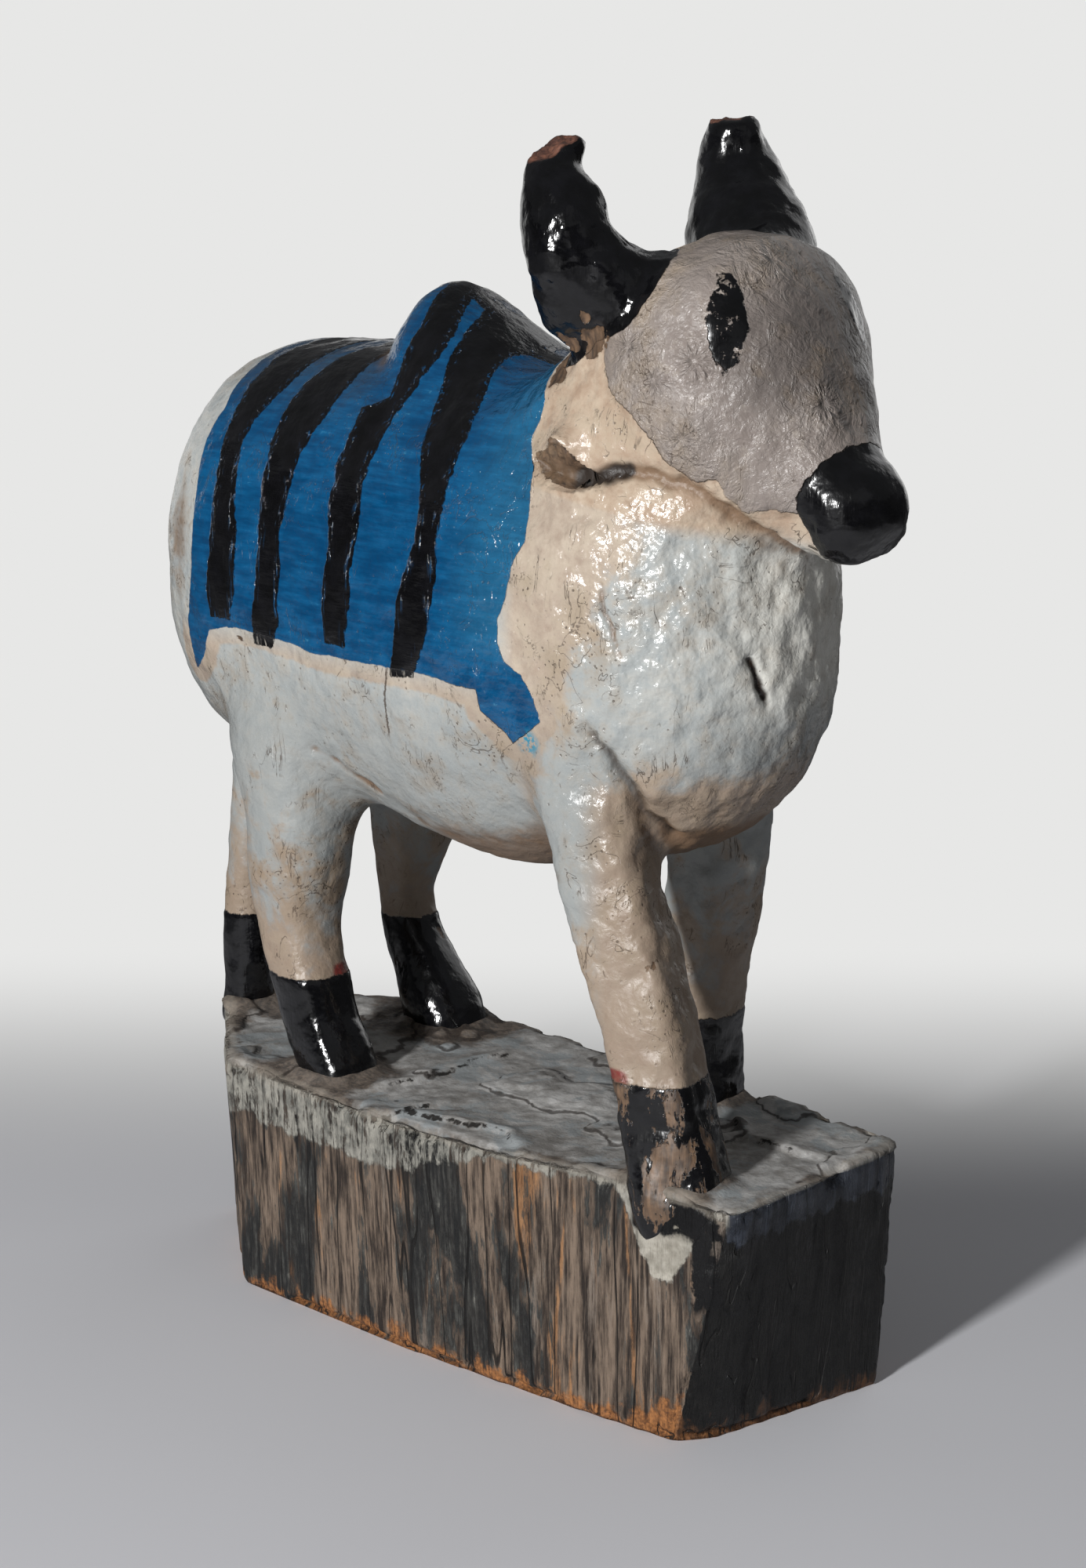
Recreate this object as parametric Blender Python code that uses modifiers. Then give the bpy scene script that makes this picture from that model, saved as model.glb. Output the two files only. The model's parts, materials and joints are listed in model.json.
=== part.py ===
import math

import bmesh
import bpy
import numpy as np
from mathutils import Matrix, Vector

# A walking bull with a shoulder hump, carved in parts, pegged together and set on a block.
# Metres. +X is the bull's front, +Y its left, +Z up. The block rests on z = 0.

# Glue line left between touching pieces
GAP = 0.0003

# Block
PLINTH_HEIGHT = 0.070
PLINTH_FRONT = 0.112
PLINTH_REAR = -0.128
PLINTH_RIGHT = -0.047
PLINTH_LEFT = 0.042
PLINTH_DRAFT = 0.004
PLINTH_TONGUE = 0.0075
PLINTH_EDGE = 0.0015

# Trunk: hip and shoulder are the places where the rounded ends begin
HIP = -0.070
SHOULDER = 0.045
RUMP_LENGTH = 0.0525
RUMP_POWER = 2.5
CHEST_LENGTH = 0.054
CHEST_POWER = 2.25
BREAST_POWER = 4.0
TRUNK_POWER = 2.3
CROWN_POWER = 3.4
TRUNK_SIDES = 28

# Seat of the head block on the trunk: a slope with a shoulder behind it
SEAT_REAR = 0.010
SEAT_FRONT = 0.0995
SEAT_REAR_Z = 0.2630
SEAT_FRONT_Z = 0.2430

# Head
MUZZLE_X = 0.1155
MUZZLE_Z = 0.2478
MUZZLE_RADIUS = 0.0148
HEAD_POWER = 2.2
SKULL_POWER = 2.6
HEAD_SIDES = 24

# Hump
HUMP_REAR = -0.0378
HUMP_FRONT = 0.018
HUMP_TOP_Z = 0.2965
HUMP_POWER = 1.9

# Legs: squarish sections
LEG_POWER = 2.7
LEG_SIDES = 20
LEG_RINGS = 16

# Tenons and dowels
LEG_TENON = 0.0070
TAIL_TENON = 0.0045
HORN_TENON = 0.0065
EAR_TENON = 0.0035
TENON_DEPTH = 0.020
DOWEL_RADIUS = 0.0070
DOWEL_LENGTH = 0.044

ROUND = 20


def clear_scene():
    for item in list(bpy.data.objects):
        bpy.data.objects.remove(item, do_unlink=True)


def new_collection(name):
    made = bpy.data.collections.new(name)
    bpy.context.scene.collection.children.link(made)
    return made


def paint(name, colour, roughness):
    made = bpy.data.materials.new(name)
    made.use_nodes = True
    shader = made.node_tree.nodes["Principled BSDF"]
    shader.inputs["Base Color"].default_value = (*colour, 1.0)
    shader.inputs["Roughness"].default_value = roughness
    shader.inputs["Metallic"].default_value = 0.0
    return made


def piece(name, mesh, material):
    item = bpy.data.objects.new(name, mesh)
    mesh.materials.clear()
    mesh.materials.append(material)
    BULL.objects.link(item)
    return item


def cutter(name, mesh):
    item = bpy.data.objects.new("cut_" + name, mesh)
    CUTTERS.objects.link(item)
    item.hide_render = True
    item.display_type = "WIRE"
    return item


def combine(item, tool, operation):
    step = item.modifiers.new(operation.lower() + "_" + tool.name, "BOOLEAN")
    step.operation = operation
    step.solver = "EXACT"
    step.object = tool


def cut(item, *tools):
    for tool in tools:
        combine(item, tool, "DIFFERENCE")


def add(item, *tools):
    for tool in tools:
        combine(item, tool, "UNION")


def finish_mesh(name, bm, smooth=True):
    bmesh.ops.remove_doubles(bm, verts=bm.verts, dist=1e-6)
    bmesh.ops.recalc_face_normals(bm, faces=bm.faces)
    for face in bm.faces:
        face.smooth = smooth
    mesh = bpy.data.meshes.new(name)
    bm.to_mesh(mesh)
    bm.free()
    return mesh


def hermite(keys, at):
    # Smooth rows between key rows; the first column is the place along the body
    keys = np.array(keys, float)
    places = keys[:, 0]
    slopes = np.gradient(keys, places, axis=0)
    index = int(np.clip(np.searchsorted(places, at) - 1, 0, len(keys) - 2))
    span = places[index + 1] - places[index]
    t = (at - places[index]) / span
    return ((2 * t**3 - 3 * t**2 + 1) * keys[index] + (t**3 - 2 * t**2 + t) * span * slopes[index]
            + (3 * t**2 - 2 * t**3) * keys[index + 1] + (t**3 - t**2) * span * slopes[index + 1])


def signed_power(value, power):
    return math.copysign(abs(value) ** power, value)


def rib(x, low, middle, top, half, power, crown, sides):
    # One upright section across the body: superellipse quarters, the upper ones with their own power
    points = []
    for k in range(sides):
        angle = 2 * math.pi * (k + 0.5) / sides
        c, s = math.cos(angle), math.sin(angle)
        bend = 2 / (crown if s > 0 else power)
        tall = top - middle if s > 0 else middle - low
        points.append(Vector((x, half * signed_power(c, bend), middle + tall * signed_power(s, bend))))
    return points


def skin(name, rings, tail_point, nose_point):
    # Loft through unlike sections, each end closed on a point
    bm = bmesh.new()
    loops = [[bm.verts.new(p) for p in ring] for ring in rings]
    count = len(loops[0])
    for here, there in zip(loops, loops[1:]):
        for k in range(count):
            n = (k + 1) % count
            bm.faces.new((here[k], here[n], there[n], there[k]))
    for loop, point in ((loops[0], tail_point), (loops[-1], nose_point)):
        pole = bm.verts.new(point)
        for k in range(count):
            bm.faces.new((loop[k], loop[(k + 1) % count], pole))
    return finish_mesh(name, bm)


def rod(name, start, end, radius, sides=ROUND):
    start, end = Vector(start), Vector(end)
    along = end - start
    turn = along.to_track_quat("Z", "Y").to_matrix().to_4x4()
    bm = bmesh.new()
    bmesh.ops.create_cone(bm, cap_ends=True, segments=sides, radius1=radius, radius2=radius,
                          depth=along.length, matrix=Matrix.Translation((start + end) / 2) @ turn)
    return finish_mesh(name, bm, smooth=False)


def sweep(name, points, radii):
    # Round taper along a smooth path, thicker and thinner by its radii
    data = bpy.data.curves.new(name + "_path", "CURVE")
    data.dimensions = "3D"
    data.bevel_depth = 1.0
    data.bevel_resolution = 4
    data.resolution_u = 4
    data.use_fill_caps = True
    line = data.splines.new("BEZIER")
    line.bezier_points.add(len(points) - 1)
    for knot, point, radius in zip(line.bezier_points, points, radii):
        knot.co = point
        knot.radius = radius
        knot.handle_left_type = "AUTO"
        knot.handle_right_type = "AUTO"
    holder = bpy.data.objects.new(name + "_path", data)
    CUTTERS.objects.link(holder)
    graph = bpy.context.evaluated_depsgraph_get()
    mesh = bpy.data.meshes.new_from_object(holder.evaluated_get(graph))
    bpy.data.objects.remove(holder, do_unlink=True)
    bm = bmesh.new()
    bm.from_mesh(mesh)
    bpy.data.meshes.remove(mesh)
    return finish_mesh(name, bm)


def limb_form(name, points, radii):
    # Squarish leg: superellipse rings across a smooth path
    steps = [(Vector(b) - Vector(a)).length for a, b in zip(points, points[1:])]
    reach = np.concatenate([[0.0], np.cumsum(steps)])
    keys = [(at, *point, radius) for at, point, radius in zip(reach, points, radii)]
    rows = np.array([hermite(keys, at) for at in np.linspace(0.0, reach[-1], LEG_RINGS)])
    ways = np.gradient(rows[:, 1:4], axis=0)
    rings = []
    for row, way in zip(rows, ways):
        centre, along = Vector(row[1:4]), Vector(way).normalized()
        side = along.cross(Vector((1, 0, 0))).normalized()
        fore = side.cross(along)
        ring = []
        for k in range(LEG_SIDES):
            angle = 2 * math.pi * k / LEG_SIDES
            ahead = signed_power(math.cos(angle), 2 / LEG_POWER)
            across = signed_power(math.sin(angle), 2 / LEG_POWER)
            ring.append(centre + (fore * ahead + side * across) * row[4])
        rings.append(ring)
    return skin(name, rings, points[0], points[-1])


def ease(share):
    # Smooth rise from none to all
    share = min(max(share, 0.0), 1.0)
    return share * share * (3 - 2 * share)


def round_off(over, power):
    return (1.0 - min(over, 1.0) ** power) ** (1 / power)


def trunk_form(name, grow=0.0):
    # Barrel of the body: rump and chest are rounded ends on the same ribs, the breast stays full
    keys = ((HIP, 0.151, 0.277, 0.0480), (-0.020, 0.142, 0.279, 0.0490),
            (0.015, 0.139, 0.277, 0.0490), (SHOULDER, 0.148, 0.271, 0.0460))
    turns = [math.sin(math.radians(a)) for a in (10, 22, 36, 50, 64, 76, 85)]
    places = [HIP - RUMP_LENGTH * turn for turn in turns[::-1]]
    places += [HIP + (SHOULDER - HIP) * k / 8 for k in range(9)]
    places += [SHOULDER + CHEST_LENGTH * turn for turn in turns]
    rings = []
    for x in places:
        _, low, top, half = hermite(keys, min(max(x, HIP), SHOULDER))
        rump = round_off(max((HIP - x) / RUMP_LENGTH, 0.0), RUMP_POWER)
        fore = max((x - SHOULDER) / CHEST_LENGTH, 0.0)
        chest, breast = round_off(fore, CHEST_POWER), round_off(fore, BREAST_POWER)
        middle, tall = (low + top) / 2, (top - low) / 2
        crown = TRUNK_POWER + (CROWN_POWER - TRUNK_POWER) * ease((x - 0.030) / 0.050)
        rings.append(rib(x, middle - tall * rump * chest - grow, middle, middle + tall * rump * breast + grow,
                         half * rump * chest + grow, TRUNK_POWER, crown, TRUNK_SIDES))
    ends = [(HIP - RUMP_LENGTH - grow, keys[0]), (SHOULDER + CHEST_LENGTH + grow, keys[-1])]
    poles = [(x, 0.0, (row[1] + row[2]) / 2) for x, row in ends]
    return skin(name, rings, *poles)


def head_form(name, grow=0.0):
    # Nape, skull and face in one run of ribs that ends in the muzzle ball
    keys = [(0.004, 0.250, 0.272, 0.0345), (0.014, 0.245, 0.2735, 0.0348), (0.028, 0.234, 0.280, 0.0350),
            (0.046, 0.226, 0.2955, 0.0350), (0.064, 0.226, 0.3114, 0.0356), (0.080, 0.231, 0.3140, 0.0354),
            (0.094, 0.235, 0.3100, 0.0318), (0.104, 0.236, 0.2965, 0.0230), (0.1105, 0.235, 0.282, 0.0170),
            (MUZZLE_X, 0.233, 0.2685, 0.0149)]
    for angle in (20, 36, 52, 66, 78):
        reach = MUZZLE_RADIUS * math.cos(math.radians(angle))
        keys.append((MUZZLE_X + MUZZLE_RADIUS * math.sin(math.radians(angle)),
                     MUZZLE_Z - reach, MUZZLE_Z + reach, reach))
    places = [row[0] for row in keys]
    fine = []
    for here, there in zip(places, places[1:]):
        fine += [here, (here + there) / 2] if there <= MUZZLE_X else [here]
    fine.append(places[-1])
    rings = []
    for x in fine:
        _, low, top, half = hermite(keys, x)
        crown = HEAD_POWER + (SKULL_POWER - HEAD_POWER) * ease((x - 0.066) / 0.022) * ease((0.112 - x) / 0.016)
        rings.append(rib(x, low - grow, (low + top) / 2, top + grow, half + grow, HEAD_POWER, crown, HEAD_SIDES))
    rear = (keys[0][0] - 0.002 - grow, 0.0, (keys[0][1] + keys[0][2]) / 2)
    nose = (MUZZLE_X + MUZZLE_RADIUS + grow, 0.0, MUZZLE_Z)
    return skin(name, rings, rear, nose)


def hump_form(name):
    # Ridge with a steep back and a long front slope
    keys = ((HUMP_REAR, 0.254, 0.280, 0.0120), (-0.0355, 0.246, 0.2885, 0.0175),
            (-0.031, 0.238, 0.2945, 0.0225), (-0.026, 0.232, HUMP_TOP_Z, 0.0255),
            (-0.016, 0.232, 0.2930, 0.0285), (0.0, 0.232, 0.2835, 0.0310), (HUMP_FRONT, 0.236, 0.272, 0.0330))
    rings = []
    for x in np.linspace(HUMP_REAR, HUMP_FRONT, 13):
        _, low, top, half = hermite(keys, x)
        rings.append(rib(x, low, (low + top) / 2, top, half, HUMP_POWER, HUMP_POWER, 20))
    return skin(name, rings, (HUMP_REAR - 0.001, 0, 0.270), (HUMP_FRONT + 0.003, 0, 0.258))


def slab(name, outline):
    # Flat cutter: an outline in the middle plane, pushed out past both flanks
    bm = bmesh.new()
    side = bm.faces.new([bm.verts.new((x, -0.09, z)) for x, z in outline])
    grown = bmesh.ops.extrude_face_region(bm, geom=[side])
    moved = [v for v in grown["geom"] if isinstance(v, bmesh.types.BMVert)]
    bmesh.ops.translate(bm, verts=moved, vec=(0, 0.18, 0))
    return finish_mesh(name, bm, smooth=False)


def seat_notch():
    # Room for the head block: above the slope and ahead of the shoulder
    return [(SEAT_REAR, SEAT_REAR_Z), (SEAT_FRONT, SEAT_FRONT_Z), (SEAT_FRONT, 0.35), (SEAT_REAR, 0.35)]


def seat_under():
    # What the head block loses: everything under the slope and behind the shoulder
    rear, front = SEAT_REAR + GAP, SEAT_FRONT
    return [(rear, 0.35), (rear, SEAT_REAR_Z + GAP), (front, SEAT_FRONT_Z + GAP), (front, 0.15),
            (-0.05, 0.15), (-0.05, 0.35)]


def plinth_outlines():
    # Top and foot of the block, going round from the tongue along the right side
    nose, rear = PLINTH_FRONT, PLINTH_REAR
    right, left = PLINTH_RIGHT, PLINTH_LEFT
    top = [(rear, -PLINTH_TONGUE * 0.6), (rear + 0.003, -PLINTH_TONGUE), (-0.078, right + 0.001),
           (-0.004, right - 0.001), (0.038, right + 0.003), (0.062, right + 0.009),
           (nose - 0.003, right + 0.012), (nose, right + 0.015), (nose - 0.003, left - 0.006),
           (nose - 0.014, left), (-0.068, left), (rear + 0.003, PLINTH_TONGUE)]
    turn = PLINTH_DRAFT
    foot = [(rear + turn, -PLINTH_TONGUE * 0.6), (rear + 0.003 + turn, -PLINTH_TONGUE),
            (-0.074, right + 0.003), (-0.004, right + 0.003), (0.038, right + 0.006), (0.062, right + 0.008),
            (nose - 0.020, right + 0.0115), (nose - 0.014, right + 0.021), (nose - 0.006, left - 0.010),
            (nose - 0.016, left - turn), (-0.066, left - turn), (rear + 0.003 + turn, PLINTH_TONGUE)]
    return top, foot


def make_plinth(wood):
    # Drafted block with a tongue at the rear under the tail
    bm = bmesh.new()
    top, foot = plinth_outlines()
    high = [bm.verts.new((x, y, PLINTH_HEIGHT)) for x, y in top]
    low = [bm.verts.new((x, y, 0.0)) for x, y in foot]
    bm.faces.new(high)
    bm.faces.new(low[::-1])
    for k in range(len(high)):
        n = (k + 1) % len(high)
        bm.faces.new((high[k], low[k], low[n], high[n]))
    item = piece("plinth", finish_mesh("plinth", bm, smooth=False), wood)
    edge = item.modifiers.new("worn_edges", "BEVEL")
    edge.width = PLINTH_EDGE
    edge.segments = 2
    edge.limit_method = "ANGLE"
    edge.angle_limit = math.radians(30)
    return item


def leg_plan():
    # Path and thickness of each leg, from the hoof up into the body
    return {
        "foreleg_right": (((0.0845, -0.0242, 0.063), (0.0821, -0.0250, 0.0756), (0.0782, -0.0255, 0.0905),
                           (0.0702, -0.0270, 0.120), (0.0624, -0.0285, 0.144), (0.0580, -0.0290, 0.158),
                           (0.0545, -0.0285, 0.174), (0.0510, -0.0250, 0.192)),
                          (0.0122, 0.0117, 0.0112, 0.0120, 0.0124, 0.0133, 0.0148, 0.0130)),
        "foreleg_left": (((0.0400, 0.0280, 0.063), (0.0400, 0.0285, 0.092), (0.0440, 0.0290, 0.118),
                          (0.0470, 0.0290, 0.145), (0.0480, 0.0280, 0.170), (0.0475, 0.0250, 0.190)),
                         (0.0135, 0.0122, 0.0122, 0.0136, 0.0150, 0.0130)),
        "hindleg_right": (((-0.0460, -0.0290, 0.062), (-0.0478, -0.0290, 0.0705), (-0.0535, -0.0295, 0.082),
                           (-0.0587, -0.0295, 0.095), (-0.0630, -0.0295, 0.112), (-0.0622, -0.0292, 0.130),
                           (-0.0607, -0.0290, 0.148), (-0.0625, -0.0280, 0.166), (-0.0660, -0.0230, 0.190)),
                          (0.0106, 0.0101, 0.0096, 0.0102, 0.0115, 0.0138, 0.0160, 0.0195, 0.0165)),
        "hindleg_left": (((-0.0580, 0.0250, 0.062), (-0.0598, 0.0250, 0.0725), (-0.0685, 0.0260, 0.0845),
                          (-0.0752, 0.0268, 0.095), (-0.0788, 0.0275, 0.106), (-0.0775, 0.0280, 0.121),
                          (-0.0752, 0.0282, 0.138), (-0.0735, 0.0280, 0.158), (-0.0720, 0.0230, 0.190)),
                         (0.0118, 0.0110, 0.0090, 0.0079, 0.0078, 0.0104, 0.0142, 0.0185, 0.0165)),
    }


def tail_plan():
    return (((-0.1195, -0.002, 0.063), (-0.1195, -0.002, 0.098), (-0.117, -0.002, 0.124),
             (-0.1145, -0.001, 0.150), (-0.116, 0.0, 0.178), (-0.108, 0.0, 0.200)),
            (0.0075, 0.0072, 0.0068, 0.0068, 0.0072, 0.0060))


def pegged(item, points, tenon_radius):
    # Upright limb with a round tenon at each end, one for the body and one for the block
    name = item.name
    cut(item, cutter(name + "_host", trunk_form(name + "_host", GAP)),
        cutter(name + "_block", block_above()))
    foot = Vector(points[0])
    low = Vector((foot.x, foot.y, PLINTH_HEIGHT - TENON_DEPTH))
    mortises = []
    for tag, start, end in (("high", Vector(points[-3]), Vector(points[-1])),
                            ("low", Vector((foot.x, foot.y, points[1][2])), low)):
        reach = (end - start).normalized() * GAP
        add(item, cutter(name + "_tenon_" + tag, rod(name + "_tenon_" + tag, start, end, tenon_radius)))
        hole = rod(name + "_mortise_" + tag, start, end + reach, tenon_radius + GAP)
        mortises.append(cutter(name + "_mortise_" + tag, hole))
    return mortises


def block_above():
    # Everything below the block's top, with the glue line
    bm = bmesh.new()
    bmesh.ops.create_cube(bm, size=1.0)
    bmesh.ops.scale(bm, vec=(0.4, 0.2, PLINTH_HEIGHT), verts=bm.verts)
    bmesh.ops.translate(bm, vec=(0, 0, PLINTH_HEIGHT / 2 + GAP), verts=bm.verts)
    return finish_mesh("block_above", bm, smooth=False)


def horn_plan():
    # Path and thickness of each horn from its root, then of the foot that runs down the skull behind it
    return {
        "horn_right": (((0.0680, -0.0120, 0.2985), (0.0612, -0.0255, 0.3015), (0.0535, -0.0325, 0.3075),
                        (0.0485, -0.0346, 0.3215), (0.0453, -0.0331, 0.3304), (0.0453, -0.0301, 0.3370)),
                       (0.0110, 0.0145, 0.0140, 0.0116, 0.0088, 0.0042),
                       ((0.0535, -0.0325, 0.3075), (0.0500, -0.0310, 0.2995), (0.0476, -0.0283, 0.2922),
                        (0.0457, -0.0262, 0.2876)),
                       (0.0135, 0.0124, 0.0104, 0.0066)),
        "horn_left": (((0.0680, 0.0120, 0.2985), (0.0612, 0.0245, 0.3025), (0.0540, 0.0302, 0.3110),
                       (0.0483, 0.0333, 0.3225), (0.0462, 0.0330, 0.3310), (0.0478, 0.0310, 0.3405)),
                      (0.0125, 0.0172, 0.0165, 0.0132, 0.0098, 0.0056),
                      ((0.0540, 0.0302, 0.3110), (0.0502, 0.0302, 0.2995), (0.0476, 0.0283, 0.2922),
                       (0.0457, 0.0262, 0.2876)),
                      (0.0150, 0.0128, 0.0104, 0.0066)),
    }


def make_horn(name, plan, material):
    # Curved taper pegged into the side of the skull
    path, radii, foot, foot_radii = plan
    item = piece(name, sweep(name, path, radii), material)
    add(item, cutter(name + "_foot", sweep(name + "_foot", foot, foot_radii)))
    cut(item, cutter(name + "_skull", head_form(name + "_skull", GAP)))
    outer = Vector(path[2])
    inner = Vector((0.068, math.copysign(0.010, outer.y), 0.283))
    add(item, cutter(name + "_tenon", rod(name + "_tenon", outer, inner, HORN_TENON)))
    reach = (inner - outer).normalized() * GAP
    return cutter(name + "_socket", rod(name + "_socket", outer, inner + reach, HORN_TENON + GAP))


def make_ear(name, side, length, material):
    # Flat leaf that points out and back from the corner of the jaw
    root = Vector((0.066, side * 0.027, 0.2590))
    along = Vector((-0.78, side * 0.62, 0.06)).normalized()
    turn = along.to_track_quat("X", "Z").to_matrix().to_4x4()
    bm = bmesh.new()
    bmesh.ops.create_uvsphere(bm, u_segments=16, v_segments=10, radius=1.0)
    bmesh.ops.rotate(bm, cent=(0, 0, 0), matrix=Matrix.Rotation(math.pi / 2, 3, "Y"), verts=bm.verts)
    bmesh.ops.scale(bm, vec=(0.024, 0.0060, 0.0066), verts=bm.verts)
    bmesh.ops.transform(bm, matrix=Matrix.Translation(root + along * 0.010) @ turn, verts=bm.verts)
    item = piece(name, finish_mesh(name, bm), material)
    cut(item, cutter(name + "_skull", head_form(name + "_skull", GAP)),
        cutter(name + "_body", trunk_form(name + "_body", GAP)))
    if length < 0.030:
        stub = root + along * length
        bm = bmesh.new()
        bmesh.ops.create_cube(bm, size=0.04)
        tilt = Matrix.Rotation(0.25, 4, "Z")
        bmesh.ops.transform(bm, matrix=Matrix.Translation(stub + along * 0.02) @ turn @ tilt, verts=bm.verts)
        cut(item, cutter(name + "_break", finish_mesh(name + "_break", bm, smooth=False)))
    start = root + along * 0.012
    end = root + Vector((0.002, -side * 0.011, 0.004))
    add(item, cutter(name + "_tenon", rod(name + "_tenon", start, end, EAR_TENON, 12)))
    reach = (end - start).normalized() * GAP
    return cutter(name + "_socket", rod(name + "_socket", start, end + reach, EAR_TENON + GAP, 12))


def make_dowel(name, centre, along, material):
    # Loose dowel shared by two pieces, with the hole that both get
    centre, along = Vector(centre), Vector(along).normalized()
    half = along * DOWEL_LENGTH / 2
    piece(name, rod(name, centre - half, centre + half, DOWEL_RADIUS), material)
    longer = half + along * GAP
    return cutter(name + "_hole", rod(name + "_hole", centre - longer, centre + longer, DOWEL_RADIUS + GAP))


clear_scene()
BULL = new_collection("nandi_bull_figurine")
CUTTERS = new_collection("cutters")

white = paint("chalky white paint", (0.72, 0.70, 0.68), 0.40)
taupe = paint("grey taupe paint", (0.50, 0.45, 0.44), 0.50)
blue = paint("blue and black paint", (0.03, 0.13, 0.32), 0.35)
black = paint("black gloss paint", (0.012, 0.012, 0.014), 0.22)
timber = paint("weathered timber", (0.16, 0.12, 0.09), 0.85)
raw = paint("bare timber", (0.34, 0.20, 0.11), 0.80)

plinth = make_plinth(timber)
trunk = piece("trunk", trunk_form("trunk"), white)
head = piece("head", head_form("head"), taupe)
hump = piece("hump", hump_form("hump"), blue)

notch = cutter("seat_notch", slab("seat_notch", seat_notch()))
cut(trunk, notch)
cut(head, cutter("seat_under", slab("seat_under", seat_under())))
cut(hump, cutter("hump_body", trunk_form("hump_body", GAP)), notch)

slope = Vector((SEAT_REAR_Z - SEAT_FRONT_Z, 0, SEAT_FRONT - SEAT_REAR))
hole = make_dowel("head_dowel", (0.060, 0, 0.2525), slope, raw)
cut(trunk, hole)
cut(head, hole)
hole = make_dowel("hump_dowel", (-0.018, 0, 0.262), (0, 0, 1), raw)
cut(trunk, hole)
cut(hump, hole)

for limb, (points, radii) in leg_plan().items():
    leg = piece(limb, limb_form(limb, points, radii), white)
    high, low = pegged(leg, points, LEG_TENON)
    cut(trunk, high)
    cut(plinth, low)
points, radii = tail_plan()
tail = piece("tail", sweep("tail", points, radii), white)
high, low = pegged(tail, points, TAIL_TENON)
cut(trunk, high)
cut(plinth, low)

for name, plan in horn_plan().items():
    cut(head, make_horn(name, plan, black))
cut(head, make_ear("ear_right", -1, 0.0215, taupe))
cut(head, make_ear("ear_left", 1, 0.040, taupe))
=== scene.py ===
import json
import math
import bpy
import numpy as np
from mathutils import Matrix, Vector

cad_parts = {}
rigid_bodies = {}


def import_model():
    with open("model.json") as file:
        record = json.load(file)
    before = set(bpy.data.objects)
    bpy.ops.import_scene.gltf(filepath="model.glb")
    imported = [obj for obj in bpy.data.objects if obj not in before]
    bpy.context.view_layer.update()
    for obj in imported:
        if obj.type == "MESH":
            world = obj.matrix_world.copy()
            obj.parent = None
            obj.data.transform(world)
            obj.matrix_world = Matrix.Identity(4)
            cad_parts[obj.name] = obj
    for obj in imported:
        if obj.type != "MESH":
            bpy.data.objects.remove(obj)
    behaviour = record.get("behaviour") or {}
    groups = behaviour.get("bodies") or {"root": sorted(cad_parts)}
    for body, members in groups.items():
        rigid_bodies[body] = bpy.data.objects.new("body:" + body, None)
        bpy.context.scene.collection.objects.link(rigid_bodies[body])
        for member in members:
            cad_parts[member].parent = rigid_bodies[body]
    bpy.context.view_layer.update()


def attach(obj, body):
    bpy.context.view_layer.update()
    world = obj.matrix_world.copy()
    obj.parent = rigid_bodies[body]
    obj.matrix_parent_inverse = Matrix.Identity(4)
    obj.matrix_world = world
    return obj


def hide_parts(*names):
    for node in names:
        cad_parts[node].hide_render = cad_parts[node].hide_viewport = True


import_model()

scene = bpy.context.scene
print("frame loaded")


# value noise: random numbers at whole-number corners, blended with a smooth step
def latticeNoise(points, seed):
    base = np.floor(points).astype(np.int64)
    part = points - base
    fade = part * part * (3 - 2 * part)
    total = np.zeros(len(points))
    for corner in range(8):
        offset = np.array([corner & 1, corner >> 1 & 1, corner >> 2 & 1])
        cell = base + offset
        mixed = cell[:, 0] * 73856093 ^ cell[:, 1] * 19349663 ^ cell[:, 2] * 83492791 ^ seed * 2654435
        mixed = (mixed ^ mixed >> 13) * 1274126177
        value = ((mixed ^ mixed >> 16) & 0xFFFF) / 65535
        total += np.prod(np.where(offset, fade, 1 - fade), axis=1) * value
    return total * 2 - 1


# sum of noises, each half the size and half the height of the one before
def fractal(points, size, seed, octaves=4):
    total = np.zeros(len(points))
    for k in range(octaves):
        total += latticeNoise(points / size * 2**k + 17.3 * k, seed + k) / 2**k
    return total


# smooth step from 0 at low to 1 at high, falling where low is the larger
def rise(value, low, high):
    t = np.clip((value - low) / (high - low), 0, 1)
    return t * t * (3 - 2 * t)


# cubic curve through the keys, with slopes from the neighbouring keys
def curveThrough(keys, at):
    keys = np.array(keys, float)
    places = keys[:, 0]
    slopes = np.gradient(keys, places, axis=0)
    index = np.clip(np.searchsorted(places, at) - 1, 0, len(keys) - 2)
    span = (places[index + 1] - places[index])[:, None]
    t = (at[:, None] - places[index][:, None]) / span
    return ((2 * t**3 - 3 * t**2 + 1) * keys[index] + (t**3 - 2 * t**2 + t) * span * slopes[index]
            + (3 * t**2 - 2 * t**3) * keys[index + 1] + (t**3 - t**2) * span * slopes[index + 1])


# power of the size, with the value's own sign
def signedPower(value, power):
    return np.sign(value) * np.abs(value) ** power


# superellipse ribs: y is half times cosine to the 2/power, z is mid plus tall times sine to the 2/power,
# with the height above mid and its power given apart from those below
def ribGrid(places, rows, sides):
    angle = 2 * np.pi * (np.arange(sides) + 0.5) / sides
    low, mid, top, half, power, crown = rows.T[:, :, None]
    bend = 2 / np.where(np.sin(angle) > 0, crown, power)
    tall = np.where(np.sin(angle) > 0, top - mid, mid - low)
    grid = np.empty((len(places), sides, 3))
    grid[:, :, 0] = places[:, None]
    grid[:, :, 1] = half * signedPower(np.cos(angle), bend)
    grid[:, :, 2] = mid + tall * signedPower(np.sin(angle), bend)
    return grid


# quads between each ring of a grid and the next, with every ring closed on itself
def ringQuads(n, m):
    i, j = np.meshgrid(np.arange(n - 1), np.arange(m), indexing="ij")
    k = (j + 1) % m
    return np.stack([i * m + j, i * m + k, (i + 1) * m + k, (i + 1) * m + j], -1).reshape(-1, 4)


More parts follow.
